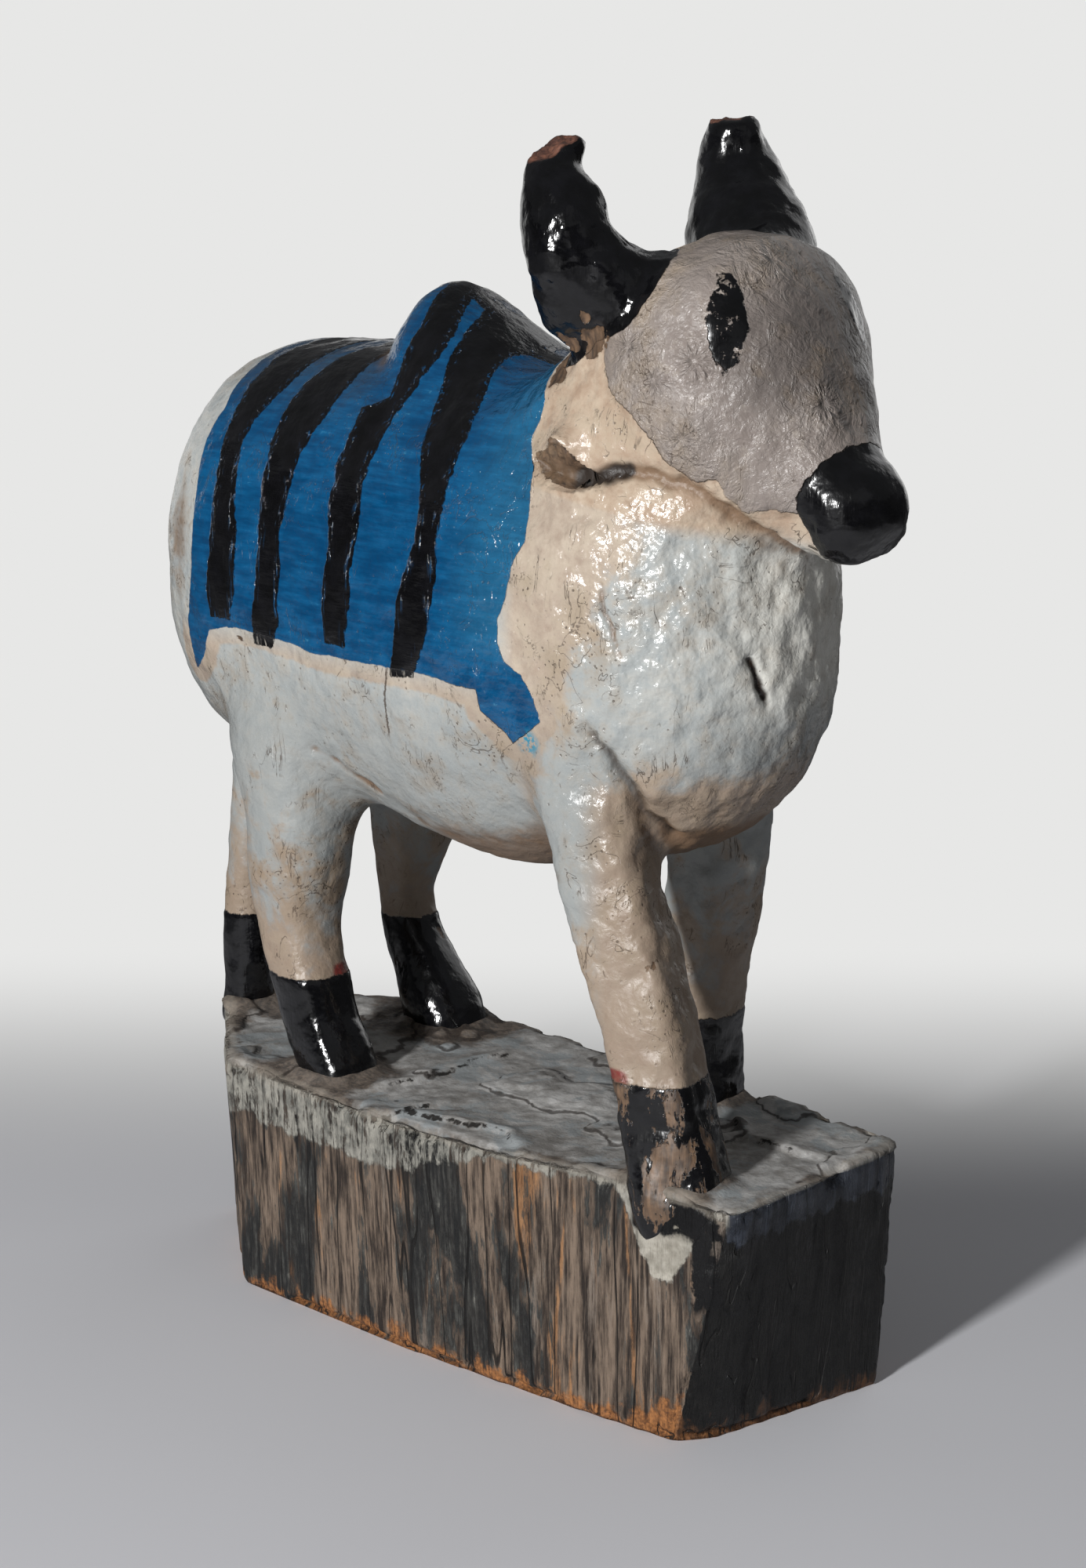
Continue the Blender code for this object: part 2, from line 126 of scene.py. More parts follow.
# a tube of rings, closed at both ends by a fan to a middle point
def closedGrid(grid, first, last):
    n, m, _ = grid.shape
    verts = np.vstack([grid.reshape(-1, 3), first, last])
    j = np.arange(m)
    k = (j + 1) % m
    start = np.stack([k, j, np.full(m, n * m)], -1)
    end = np.stack([(n - 1) * m + j, (n - 1) * m + k, np.full(m, n * m + 1)], -1)
    return verts, ringQuads(n, m).tolist() + start.tolist() + end.tolist()


# rings across a path: the centre line plus a radius along two directions square to it, cornered by power
def tubeGrid(line, radii, sides, power=2.0, twist=0.0):
    along = np.gradient(line, axis=0)
    along /= np.linalg.norm(along, axis=1)[:, None]
    side = np.cross(along, (1.0, 0, 0))
    side /= np.linalg.norm(side, axis=1)[:, None]
    fore = np.cross(side, along)
    fore, side = np.cos(twist) * fore + np.sin(twist) * side, np.cos(twist) * side - np.sin(twist) * fore
    turn = 2 * np.pi * np.arange(sides) / sides
    ring = (fore[:, None] * signedPower(np.cos(turn), 2 / power)[None, :, None]
            + side[:, None] * signedPower(np.sin(turn), 2 / power)[None, :, None])
    return line[:, None] + ring * radii[:, None, None]


# a smooth curve through the path, in even steps of its length, with the radii carried along
def smoothLine(path, radii, count):
    path = np.array(path, float)
    reach = np.concatenate([[0], np.cumsum(np.linalg.norm(np.diff(path, axis=0), axis=1))])
    rows = curveThrough(np.column_stack([reach, path, radii]), np.linspace(0, reach[-1], count))
    return rows[:, 1:4], rows[:, 4]


def makeObject(name, verts, faces):
    mesh = bpy.data.meshes.new(name)
    mesh.from_pydata(np.asarray(verts).tolist(), [], faces)
    mesh.update()
    thing = bpy.data.objects.new(name, mesh)
    scene.collection.objects.link(thing)
    return thing


# closed surfaces that overlap become one even skin of square cells
def fuse(surfaces, cell):
    verts, faces, base = [], [], 0
    for points, cells in surfaces:
        verts.append(points)
        faces += [[index + base for index in face] for face in cells]
        base += len(points)
    thing = makeObject("blank", np.vstack(verts), faces)
    remesh = thing.modifiers.new("cells", "REMESH")
    remesh.mode = "VOXEL"
    remesh.voxel_size = cell
    done = bpy.data.meshes.new_from_object(thing.evaluated_get(bpy.context.evaluated_depsgraph_get()))
    points = np.empty(len(done.vertices) * 3)
    done.vertices.foreach_get("co", points)
    quads = np.empty(len(done.loops), np.int64)
    done.loops.foreach_get("vertex_index", quads)
    bpy.data.objects.remove(thing)
    bpy.data.meshes.remove(done)
    return points.reshape(-1, 3), quads.reshape(-1, 4)


# each point moves by its weight towards the mean of its neighbours
def relax(points, quads, weight, rounds):
    a = quads.ravel()
    b = np.roll(quads, -1, axis=1).ravel()
    count = np.bincount(a, minlength=len(points)) + np.bincount(b, minlength=len(points))
    for _ in range(rounds):
        mean = np.empty_like(points)
        for axis in range(points.shape[1]):
            mean[:, axis] = (np.bincount(a, points[b, axis], len(points))
                             + np.bincount(b, points[a, axis], len(points))) / count
        points = points + (mean - points) * np.reshape(weight, (-1, 1))
    return points


# mean of the crossed diagonals of the quads round each point
def pointNormals(points, quads):
    cross = np.cross(points[quads[:, 2]] - points[quads[:, 0]], points[quads[:, 3]] - points[quads[:, 1]])
    normals = np.empty_like(points)
    for axis in range(3):
        normals[:, axis] = np.bincount(quads.ravel(), np.repeat(cross[:, axis], 4), len(points))
    return normals / np.linalg.norm(normals, axis=1)[:, None]


trunk = {
    "hip": -0.070, "shoulder": 0.045, "rump": 0.0525, "rumpPower": 2.5, "chest": 0.054, "chestPower": 2.25,
    "topPower": 4.0, "power": 2.3, "crown": 3.4, "crownFrom": (0.030, 0.080),
    "ribs": [(-0.070, 0.151, 0.277, 0.0480), (-0.020, 0.142, 0.279, 0.0490),
             (0.015, 0.139, 0.277, 0.0490), (0.045, 0.148, 0.271, 0.0460)],
}


# beyond hip and shoulder the end rib shrinks as (1 - over^n)^(1/n), the chest's top more slowly
def trunkRows(x):
    rear = np.clip((trunk["hip"] - x) / trunk["rump"], 0, 0.9999)
    fore = np.clip((x - trunk["shoulder"]) / trunk["chest"], 0, 0.9999)
    rump = (1 - rear ** trunk["rumpPower"]) ** (1 / trunk["rumpPower"])
    chest = (1 - fore ** trunk["chestPower"]) ** (1 / trunk["chestPower"])
    breast = (1 - fore ** trunk["topPower"]) ** (1 / trunk["topPower"])
    low, top, half = curveThrough(trunk["ribs"], np.clip(x, trunk["hip"], trunk["shoulder"])).T[1:]
    mid, tall = (low + top) / 2, (top - low) / 2
    crown = trunk["power"] + (trunk["crown"] - trunk["power"]) * rise(x, *trunk["crownFrom"])
    return np.stack([mid - tall * rump * chest, mid, mid + tall * rump * breast, half * rump * chest,
                     np.full(len(x), trunk["power"]), crown], -1)


# ribs at even steps along the barrel and at even angles round both ends, where x follows a sine
def trunkSurface():
    turn = np.radians(np.linspace(0, 88, 30))
    x = np.concatenate([trunk["hip"] - trunk["rump"] * np.sin(turn[::-1]),
                        np.linspace(trunk["hip"], trunk["shoulder"], 50)[1:-1],
                        trunk["shoulder"] + trunk["chest"] * np.sin(turn)])
    rearZ, foreZ = [(low + top) / 2 for _, low, top, _ in (trunk["ribs"][0], trunk["ribs"][-1])]
    return closedGrid(ribGrid(x, trunkRows(x), 96), (trunk["hip"] - trunk["rump"], 0, rearZ),
                      (trunk["shoulder"] + trunk["chest"], 0, foreZ))


head = {
    "muzzle": (0.1155, 0.2478), "ball": 0.0148, "power": 2.2,
    "crown": 2.6, "crownFrom": (0.066, 0.088), "crownTo": (0.112, 0.096),
    "ribs": [(0.004, 0.250, 0.272, 0.0345), (0.014, 0.245, 0.2735, 0.0348), (0.028, 0.234, 0.280, 0.0350),
             (0.046, 0.226, 0.2955, 0.0350), (0.064, 0.226, 0.3114, 0.0356), (0.080, 0.231, 0.3140, 0.0354),
             (0.094, 0.235, 0.3100, 0.0318), (0.104, 0.236, 0.2965, 0.0230), (0.1105, 0.235, 0.282, 0.0170),
             (0.1155, 0.2330, 0.2685, 0.0149)],
    "seat": ((0.010, 0.2630), (0.106, 0.2415)),
}


# ribs with one power all round and their middle halfway up
def evenRows(keys, x, power):
    low, top, half = curveThrough(keys, x).T[1:]
    return np.stack([low, (low + top) / 2, top, half, np.full(len(x), power), np.full(len(x), power)], -1)


# the skull's ribs, squarer over the crown, run on into a ball whose half size is its radius times a cosine
def headRows(x):
    keys = list(head["ribs"])
    for turn in np.radians((20, 36, 52, 66, 78, 86)):
        reach = head["ball"] * math.cos(turn)
        keys.append((head["muzzle"][0] + head["ball"] * math.sin(turn),
                     head["muzzle"][1] - reach, head["muzzle"][1] + reach, reach))
    rows = evenRows(keys, x, head["power"])
    rows[:, 5] += (head["crown"] - head["power"]) * rise(x, *head["crownFrom"]) * rise(x, *head["crownTo"])
    return rows


# ribs at even steps to the muzzle, then at even angles round its ball
def headSurface():
    ballX, ballZ = head["muzzle"]
    nape, low, top, _ = head["ribs"][0]
    turn = np.radians(np.linspace(4, 86, 16))
    x = np.concatenate([np.linspace(nape, ballX, 70), ballX + head["ball"] * np.sin(turn)])
    return closedGrid(ribGrid(x, headRows(x), 72), (nape - 0.002, 0, (low + top) / 2),
                      (ballX + head["ball"], 0, ballZ))


hump = {
    "power": 1.9, "rear": -0.0378, "front": 0.018, "ends": [(-0.0388, 0, 0.270), (0.021, 0, 0.258)],
    "ribs": [(-0.0378, 0.254, 0.280, 0.0120), (-0.0355, 0.246, 0.2885, 0.0175),
             (-0.031, 0.238, 0.2945, 0.0225), (-0.026, 0.232, 0.2965, 0.0255),
             (-0.016, 0.232, 0.2930, 0.0285), (0.0, 0.232, 0.2835, 0.0310), (0.018, 0.236, 0.272, 0.0330)],
}


def humpRows(x):
    return evenRows(hump["ribs"], x, hump["power"])


# ribs at even steps, closed on a point behind and a point in front
def humpSurface():
    x = np.linspace(hump["rear"], hump["front"], 40)
    return closedGrid(ribGrid(x, humpRows(x), 64), *hump["ends"])


# paths run from the hoof up into the body; paint is black below the height in hoof, twist is in degrees
limbs = {
    "foreleg_right": {
        "path": [(0.0862, -0.0236, 0.056), (0.0842, -0.0250, 0.067), (0.0821, -0.0252, 0.0756),
                 (0.0782, -0.0255, 0.0905), (0.0702, -0.0270, 0.120), (0.0624, -0.0285, 0.144),
                 (0.0580, -0.0290, 0.158), (0.0545, -0.0285, 0.174), (0.0510, -0.0250, 0.192)],
        "radii": [0.0117, 0.0118, 0.0113, 0.0109, 0.0116, 0.0120, 0.0129, 0.0144, 0.0127],
        "hoof": 0.097, "power": 4.5, "twist": 22},
    "foreleg_left": {
        "path": [(0.0400, 0.0280, 0.063), (0.0400, 0.0285, 0.092), (0.0440, 0.0290, 0.118),
                 (0.0470, 0.0290, 0.145), (0.0480, 0.0280, 0.170), (0.0475, 0.0250, 0.190)],
        "radii": [0.0135, 0.0122, 0.0122, 0.0136, 0.0150, 0.0130], "hoof": 0.096, "power": 2.7},
    "hindleg_right": {
        "path": [(-0.0460, -0.0290, 0.062), (-0.0478, -0.0290, 0.0705), (-0.0535, -0.0295, 0.082),
                 (-0.0587, -0.0295, 0.095), (-0.0630, -0.0295, 0.112), (-0.0622, -0.0292, 0.130),
                 (-0.0607, -0.0290, 0.148), (-0.0625, -0.0280, 0.166), (-0.0660, -0.0230, 0.190)],
        "radii": [0.0106, 0.0101, 0.0096, 0.0102, 0.0115, 0.0138, 0.0160, 0.0195, 0.0165],
        "hoof": 0.0975, "power": 2.7},
    "hindleg_left": {
        "path": [(-0.0580, 0.0250, 0.062), (-0.0598, 0.0250, 0.0725), (-0.0685, 0.0260, 0.0845),
                 (-0.0752, 0.0268, 0.095), (-0.0788, 0.0275, 0.106), (-0.0775, 0.0280, 0.121),
                 (-0.0752, 0.0282, 0.138), (-0.0735, 0.0280, 0.158), (-0.0720, 0.0230, 0.190)],
        "radii": [0.0118, 0.0110, 0.0090, 0.0079, 0.0078, 0.0104, 0.0142, 0.0185, 0.0165],
        "hoof": 0.1005, "power": 2.7},
    "tail": {
        "path": [(-0.1195, -0.002, 0.063), (-0.1195, -0.002, 0.098), (-0.117, -0.002, 0.124),
                 (-0.1145, -0.001, 0.150), (-0.116, 0.0, 0.178), (-0.110, 0.0, 0.200)],
        "radii": [0.0075, 0.0072, 0.0068, 0.0068, 0.0072, 0.0060], "hoof": 0.0985, "power": 2.0},
}


# ears from inside the cheek out and back; the right one is broken off short along a plane
ears = {
    "ear_right": {
        "path": [(0.0690, -0.0245, 0.2588), (0.0582, -0.0332, 0.2598), (0.0488, -0.0406, 0.2603)],
        "radii": [0.0070, 0.0068, 0.0056], "power": 2.2,
        "end": (0.0540, -0.0405, 0.2612), "facing": (-0.12, -0.85, -0.51)},
    "ear_left": {
        "path": [(0.0690, 0.0245, 0.2588), (0.0582, 0.0332, 0.2598), (0.0500, 0.0397, 0.2603),
                 (0.0415, 0.0455, 0.2609)],
        "radii": [0.0070, 0.0066, 0.0052, 0.0020], "power": 2.0},
}


# each horn runs out from inside the skull, with a foot down the skull behind it and its end broken off along
# a plane; rim is how far its paint reaches onto the skull, in millimetres
horns = {
    "horn_right": {
        "path": [(0.0680, -0.0120, 0.2985), (0.0612, -0.0255, 0.3015), (0.0535, -0.0325, 0.3075),
                 (0.0485, -0.0346, 0.3215), (0.0451, -0.0333, 0.3304), (0.0462, -0.0296, 0.3390)],
        "radii": [0.0105, 0.0116, 0.0124, 0.0108, 0.0073, 0.0050], "power": 2.0,
        "foot": {"path": [(0.0535, -0.0325, 0.3075), (0.0500, -0.0310, 0.2995), (0.0476, -0.0283, 0.2922),
                          (0.0457, -0.0262, 0.2876)],
                 "radii": [0.0122, 0.0108, 0.0088, 0.0060], "power": 2.0},
        "end": (0.0452, -0.0312, 0.3372), "facing": (-0.12, -0.50, 0.86), "rim": 2.2},
    "horn_left": {
        "path": [(0.0680, 0.0120, 0.2985), (0.0612, 0.0245, 0.3025), (0.0540, 0.0302, 0.3110),
                 (0.0483, 0.0333, 0.3225), (0.0462, 0.0330, 0.3310), (0.0478, 0.0310, 0.3415)],
        "radii": [0.0125, 0.0172, 0.0165, 0.0132, 0.0100, 0.0060], "power": 2.0,
        "foot": {"path": [(0.0540, 0.0302, 0.3110), (0.0502, 0.0302, 0.2995), (0.0476, 0.0283, 0.2922),
                          (0.0457, 0.0262, 0.2876)],
                 "radii": [0.0150, 0.0128, 0.0104, 0.0066], "power": 2.0},
        "end": (0.0478, 0.0310, 0.3408), "facing": (-0.10, 0.10, 0.99), "rim": 0.8},
}


# rings across the limb's smooth line, from its first point to its last
def limbSurface(limb):
    line, radii = smoothLine(limb["path"], limb["radii"], 60)
    grid = tubeGrid(line, radii, 40, limb["power"], np.radians(limb.get("twist", 0)))
    return closedGrid(grid, line[0], line[-1])


# distance to a rib body: the point's superellipse level less one, times the mean half size
def ribDistance(points, rows):
    low, mid, top, half, power, crown = rows.T
    above = points[:, 2] > mid
    tall = np.maximum(np.where(above, top - mid, mid - low), 1e-4)
    bend = np.where(above, crown, power)
    level = ((np.abs(points[:, 1]) / np.maximum(half, 1e-4)) ** bend
             + (np.abs(points[:, 2] - mid) / tall) ** bend) ** (1 / bend)
    return (level - 1) * np.sqrt(np.maximum(half, 1e-4) * tall)


# distance to a limb: least over the centre line of the distance less the radius there
def limbDistance(points, limb):
    line, radii = smoothLine(limb["path"], limb["radii"], 40)
    least = np.full(len(points), 1.0)
    for centre, radius in zip(line, radii):
        least = np.minimum(least, np.linalg.norm(points - centre, axis=1) - radius)
    return least


# melt is how wide the shapes run into each other where they meet, pull and rounds how far
skin = {"cell": 0.0010, "pull": 0.55, "rounds": 220,
        "melt": {"leg": 0.009, "tail": 0.002, "ear": 0.004, "horn": 0.005, "fork": 0.003, "hump": 0.007}}
surfaces = [trunkSurface(), headSurface(), humpSurface()]
surfaces += [limbSurface(limb) for limb in (limbs | ears | horns).values()]
surfaces += [limbSurface(horn["foot"]) for horn in horns.values()]
skin["points"], skin["quads"] = fuse(surfaces, skin["cell"])
print("skin", len(skin["points"]))


# height of the sloping seat that carries the head
def seatHeight(x):
    (rear, rearZ), (front, frontZ) = head["seat"]
    return rearZ + (x - rear) / (front - rear) * (frontZ - rearZ)


tip = 0.0001  # distances stay this far off the ends, where a rib shrinks to nothing


def bodyDistance(points):
    x = np.clip(points[:, 0], trunk["hip"] - trunk["rump"] + tip, trunk["shoulder"] + trunk["chest"] - tip)
    return ribDistance(points, trunkRows(x))


def headDistance(points):
    x = np.clip(points[:, 0], head["ribs"][0][0], head["muzzle"][0] + head["ball"] - tip)
    return ribDistance(points, headRows(x))


def humpDistance(points):
    return ribDistance(points, humpRows(np.clip(points[:, 0], hump["rear"], hump["front"])))


def hornDistance(points, horn):
    return np.minimum(limbDistance(points, horn), limbDistance(points, horn["foot"]))


# 1 where two shapes' surfaces cross, falling off as exp(-(a^2 + b^2) / (2 width^2)) with their distances
def meeting(a, b, kind):
    return np.exp(-(a**2 + b**2) / (2 * skin["melt"][kind]**2))


# the body's shapes melt into each other where they meet, the forelegs less on their front
def meltSkin():
    points, quads = skin["points"], skin["quads"]
    points = relax(points, quads, 0.5, 4)
    x, z = points[:, 0], points[:, 2]
    body, skull = bodyDistance(points), headDistance(points)
    melts = [meeting(humpDistance(points), body, "hump") * rise(x, -0.034, -0.016)]
    for name, limb in limbs.items():
        melt = meeting(limbDistance(points, limb), body, "tail" if name == "tail" else "leg")
        if name.startswith("fore"):
            front = np.interp(z, [p[2] for p in limb["path"]], [p[0] for p in limb["path"]])
            melt *= 1 - 0.85 * rise(x, front + 0.002, front + 0.012)
        melts.append(melt)
    melts += [meeting(limbDistance(points, ear), skull, "ear") for ear in ears.values()]
    for horn in horns.values():
        shaft, foot = limbDistance(points, horn), limbDistance(points, horn["foot"])
        melts.append(meeting(np.minimum(shaft, foot), skull, "horn"))
        melts.append(meeting(shaft, foot, "fork") * rise(-skull, -0.020, -0.010))
    points = relax(points, quads, np.max(melts, axis=0) * skin["pull"], skin["rounds"])
    skin["points"] = relax(points, quads, 0.4, 3)


meltSkin()
print("skin melted")


# how near a horn or an ear lies to its own line, how far off the skull the ear breaks, what a place away from
# any break counts as, and the share of what stands out that is pressed back
breaks = {"hornNear": 0.003, "earNear": 0.0035, "earStart": 0.001, "away": -0.02, "press": 0.94}


# a broken end: whatever stands out beyond its plane is pressed back onto it; returns how far in millimetres
def breakOff(points, near, part):
    facing = np.array(part["facing"]) / np.linalg.norm(part["facing"])
    beyond = np.where(near, (points - part["end"]) @ facing, breaks["away"])
    points -= np.maximum(beyond, 0)[:, None] * facing * breaks["press"]
    return beyond * 1000


# horns lose their tips and the right ear most of its length
def breakEnds():
    points = skin["points"]
    skin["smooth"] = points.copy()
    skin["broken"] = {}
    for name, horn in horns.items():
        skin["broken"][name] = breakOff(points, limbDistance(points, horn) < breaks["hornNear"], horn)
    ear = ears["ear_right"]
    near = (limbDistance(points, ear) < breaks["earNear"]) & (headDistance(points) > breaks["earStart"])
    skin["broken"]["ear_right"] = breakOff(points, near, ear)


breakEnds()
print("broken ends")


# limits of the solids: the hump's rear and least height, the horns' least height, the legs' greatest height,
# how near a horn or an ear lies to its own line, and how far off the skull an ear starts
seams = {"humpRear": -0.042, "humpLow": 0.245, "hornLow": 0.270, "limbHigh": 0.200, "hornNear": 0.005,
         "earNear": 0.0026, "earStart": 0.0022}


# each place belongs to the solid with the least field; ears, horns and head win inside their own limits
def regionOf(points):
    x, z = points[:, 0], points[:, 2]
    seatRear, skull = head["seat"][0][0], headDistance(points)
    names = ["trunk", "hump", "head"] + list(limbs) + list(ears) + list(horns)
    field = [bodyDistance(points)]
    back = (x > seams["humpRear"]) & (x < seatRear) & (z > seams["humpLow"])
    field.append(np.where(back, humpDistance(points), 1.0))
    field.append(np.where((x >= seatRear) & (z > seatHeight(x)), -1.0, 1.0))
    for limb in limbs.values():
        field.append(np.where(z < seams["limbHigh"], limbDistance(points, limb), 1.0))
    for ear in ears.values():
        inside = (limbDistance(points, ear) < seams["earNear"]) & (skull > seams["earStart"])
        field.append(np.where(inside, -2.0, 1.0))
    for horn in horns.values():
        away = hornDistance(points, horn)
        inside = (away < seams["hornNear"]) & (away < skull) & (z > seams["hornLow"])
        field.append(np.where(inside, -2.0, 1.0))
    return names, np.argmin(np.array(field), axis=0)


# painted outlines in millimetres: the blanket is x and degrees down from the ridge, a stripe's rows are
# degrees with its rear and front x, the face is x and z; the degrees turn about the height in axis, and each
# stands for as many millimetres as degree says
paint = {
    "blanket": [(-84, -9), (-84, 0), (-86, 24), (-85, 33), (-88, 41), (-87.5, 50), (-86.6, 64), (-88, 84),
                (-91.5, 98), (-92.5, 110), (-93, 118), (-88, 113), (-84.3, 108), (-80.5, 99.4),
                (-67.6, 96.2), (-50, 97.2), (-33, 98.9), (0, 98.1), (11.7, 98), (22.9, 100), (30.3, 100),
                (31.5, 106.6), (37.2, 112.3), (40.5, 116.5), (51.1, 108.3), (49.2, 100.3), (45.6, 93),
                (40.4, 90), (38, 84), (37.8, 76.7), (40.1, 69.3), (41.7, 59.3), (44.3, 53.8), (43.1, 44.3),
                (41.9, 37.2), (38.9, 31.6), (41.7, 27.2), (38.4, 21.6), (30, 0), (30, -9)],
    "stripes": [
        [(0, -76, -58), (18, -79, -61.6), (27, -78.5, -63.4), (34, -79, -67.5), (41, -78.7, -69.6),
         (51, -77.7, -67.9), (62, -78, -66.5), (71, -78.1, -65.4), (84, -79.7, -66.4), (94.5, -79, -70)],
        [(0, -46, -32), (14.5, -52, -36.5), (25, -57.7, -38.8), (34, -58.2, -40.8), (41, -57.4, -43.8),
         (51, -56.6, -45.4), (63, -56.3, -47), (77, -57, -47.4), (92, -59, -48.5), (101, -60, -52)],
        [(0, -25, -17), (6, -23.8, -13.5), (12, -21.1, -9.5), (17, -22.2, -9.3), (21.5, -21.6, -12),
         (26, -20, -13.7), (30, -27.4, -14.6), (36, -26.8, -15.3), (44, -28.3, -16.3), (65, -26.7, -15.6),
         (77, -28, -16.5), (94.5, -27.6, -19)],
        [(0, -12, 8), (8.7, -7.9, 6), (15, -6.8, 8), (23.4, -3.3, 12.2), (31, -0.9, 15.2), (40, 2.4, 14.6),
         (50, 6.2, 15), (59, 7.3, 15.1), (72.8, 2.9, 15), (85, 1, 13.8), (100.5, -1, 7.5)]],
    "face": [(74.8, 306), (70, 312), (66, 330), (140, 330), (140, 248.3), (109.6, 248.3), (99.2, 247.8),
             (97.5, 250.8), (96.3, 256.5), (90.2, 255.4), (84.7, 260.1), (80.9, 265.7), (74.9, 271.1),
             (67.6, 276.3), (63.7, 281.8), (62.5, 287.4), (65.9, 293), (72.6, 295.8)],
    "eye": {"right": 51.9, "left": 61.5, "height": 294.3, "wide": 5.2, "tall": 12.0, "power": 1.6,
            "leftSize": 0.75},
    "axis": 205, "degree": 0.96, "stripeLow": 165, "eyeRear": 70, "hornLow": 276, "hornFront": 92,
    "crest": {"half": 4.2, "rear": -30, "front": 18, "low": 262},
    "muzzle": {"rear": 112, "low": 246, "high": 252, "lean": 0.5},
}
outside = -60.0  # a field's value well away from its paint


# signed distance to a closed outline, positive inside: nearest edge, and the parity of edges crossed
def outlineDistance(u, v, outline):
    corner = np.array(outline, float)
    nearest = np.full(len(u), 1e9)
    inside = np.zeros(len(u), bool)
    for (au, av), (bu, bv) in zip(corner, np.roll(corner, -1, axis=0)):
        du, dv = bu - au, bv - av
        t = np.clip(((u - au) * du + (v - av) * dv) / (du * du + dv * dv), 0, 1)
        nearest = np.minimum(nearest, np.hypot(u - au - t * du, v - av - t * dv))
        if dv:
            inside ^= ((av > v) != (bv > v)) & (u < au + (v - av) / dv * du)
    return np.where(inside, nearest, -nearest)


# distances in millimetres to the edges of each painted field, positive inside
def paintFields(points):
    x, y, z = points.T * 1000
    angle = np.degrees(np.arctan2(np.abs(y), z - paint["axis"]))
    field = {}
    outline = [(u, v * paint["degree"]) for u, v in paint["blanket"]]
    field["blanket"] = outlineDistance(x, angle * paint["degree"], outline)
    stripe = np.full(len(x), outside)
    for keys in paint["stripes"]:
        turn, rear, front = np.array(keys, float).T
        inside = np.minimum(x - np.interp(angle, turn, rear), np.interp(angle, turn, front) - x)
        stripe = np.maximum(stripe, np.minimum(inside, (turn[-1] - angle) * paint["degree"]))
    crest = paint["crest"]
    ridge = np.minimum(np.minimum(crest["half"] - np.abs(y), x - crest["rear"]), crest["front"] - x)
    stripe = np.maximum(stripe, np.where(z > crest["low"], ridge, outside))
    field["stripe"] = np.where(z > paint["stripeLow"], stripe, outside)
    field["face"] = outlineDistance(x, z, paint["face"])
    eye, size = paint["eye"], np.where(y < 0, 1.0, paint["eye"]["leftSize"])
    across = 0.72 * x - 0.69 * np.abs(y) - np.where(y < 0, eye["right"], eye["left"])
    level = (np.abs(across / (eye["wide"] * size)) ** eye["power"]
             + np.abs((z - eye["height"]) / (eye["tall"] * size)) ** eye["power"]) ** (1 / eye["power"])
    field["eye"] = np.where(x > paint["eyeRear"], (1 - level) * eye["wide"], outside)
    muzzle = paint["muzzle"]
    field["muzzle"] = (x - muzzle["rear"]) - muzzle["lean"] * np.maximum(z - muzzle["high"], 0)
    field["muzzle"] -= muzzle["lean"] * np.maximum(muzzle["low"] - z, 0)
    hoof = np.full(len(x), outside)
    for limb in limbs.values():
        near = limbDistance(points, limb) < 0.006
        hoof = np.where(near, np.maximum(hoof, limb["hoof"] * 1000 - z), hoof)
    field["hoof"] = hoof
    skull = headDistance(points)
    field["horn"] = np.full(len(x), outside)
    for horn in horns.values():
        apart = np.clip(skull - hornDistance(points, horn), -0.03, 0.03) * 1000 + horn["rim"]
        inside = (z > paint["hornLow"]) & (x < paint["hornFront"])
        field["horn"] = np.maximum(field["horn"], np.where(inside, apart, outside))
    return field


# how far the neighbourhood's mean stands above the surface, in millimetres: positive in hollows
def hollowness(points, quads, rounds):
    around = relax(points, quads, 1.0, rounds)
    return np.sum((around - points) * pointNormals(points, quads), axis=1) * 1000


# the crease where the head sits on the chest, from the left cheek to the middle under the jaw
jaw = [(0.0660, 0.0367, 0.2565), (0.0755, 0.0353, 0.2573), (0.0879, 0.0314, 0.2539), (0.0928, 0.0281, 0.2505),
       (0.0992, 0.0206, 0.2441), (0.1033, 0.0103, 0.2379)]

# grooves: a polyline, its half width and depth; soil is 1 for brown dirt in it and 0 for black painted shadow
grooves = [
    {"line": [(0.0968, -0.0150, 0.2090), (0.0974, -0.0128, 0.2040), (0.0976, -0.0100, 0.1990),
              (0.0972, -0.0085, 0.1960)],
     "width": 0.0013, "depth": 0.0016, "soil": 0},
    {"line": [(0.0575, -0.0370, 0.2530), (0.0660, -0.0362, 0.2552), (0.0725, -0.0352, 0.2572)],
     "width": 0.0030, "depth": 0.0020, "soil": 0},
    {"line": jaw + [(0.1035, 0.0, 0.2360)] + [(x, -y, z) for x, y, z in reversed(jaw)],
     "width": 0.0021, "depth": 0.0021, "soil": 1},
    {"line": [(0.0666, -0.0413, 0.1886), (0.0719, -0.0366, 0.1784), (0.0747, -0.0263, 0.1647),
              (0.0750, -0.0190, 0.1600)],
     "width": 0.0022, "depth": 0.0025, "soil": 0.35},
    {"line": [(-0.0420, -0.0410, 0.1670), (-0.0330, -0.0380, 0.1620), (-0.0240, -0.0340, 0.1570)],
     "width": 0.0018, "depth": 0.0012, "soil": 1},
    {"line": [(0.0700, -0.0422, 0.2290), (0.0706, -0.0420, 0.2215), (0.0735, -0.0410, 0.2160),
              (0.0755, -0.0402, 0.2110)],
     "width": 0.0012, "depth": 0.0009, "soil": 0.8},
]

# raw spots in the paint: place and radius, in millimetres
rawSpots = [(43, -28, 282, 4), (58, -31, 289, 4), (51, -34, 285, 3)]


# for each stretch of a polyline: the points' offsets from their nearest place on it, and its direction
def stretches(points, line):
    line = np.array(line)
    for a, b in zip(line[:-1], line[1:]):
        t = np.clip((points - a) @ (b - a) / np.dot(b - a, b - a), 0, 1)
        yield points - a - t[:, None] * (b - a), (b - a) / np.linalg.norm(b - a)
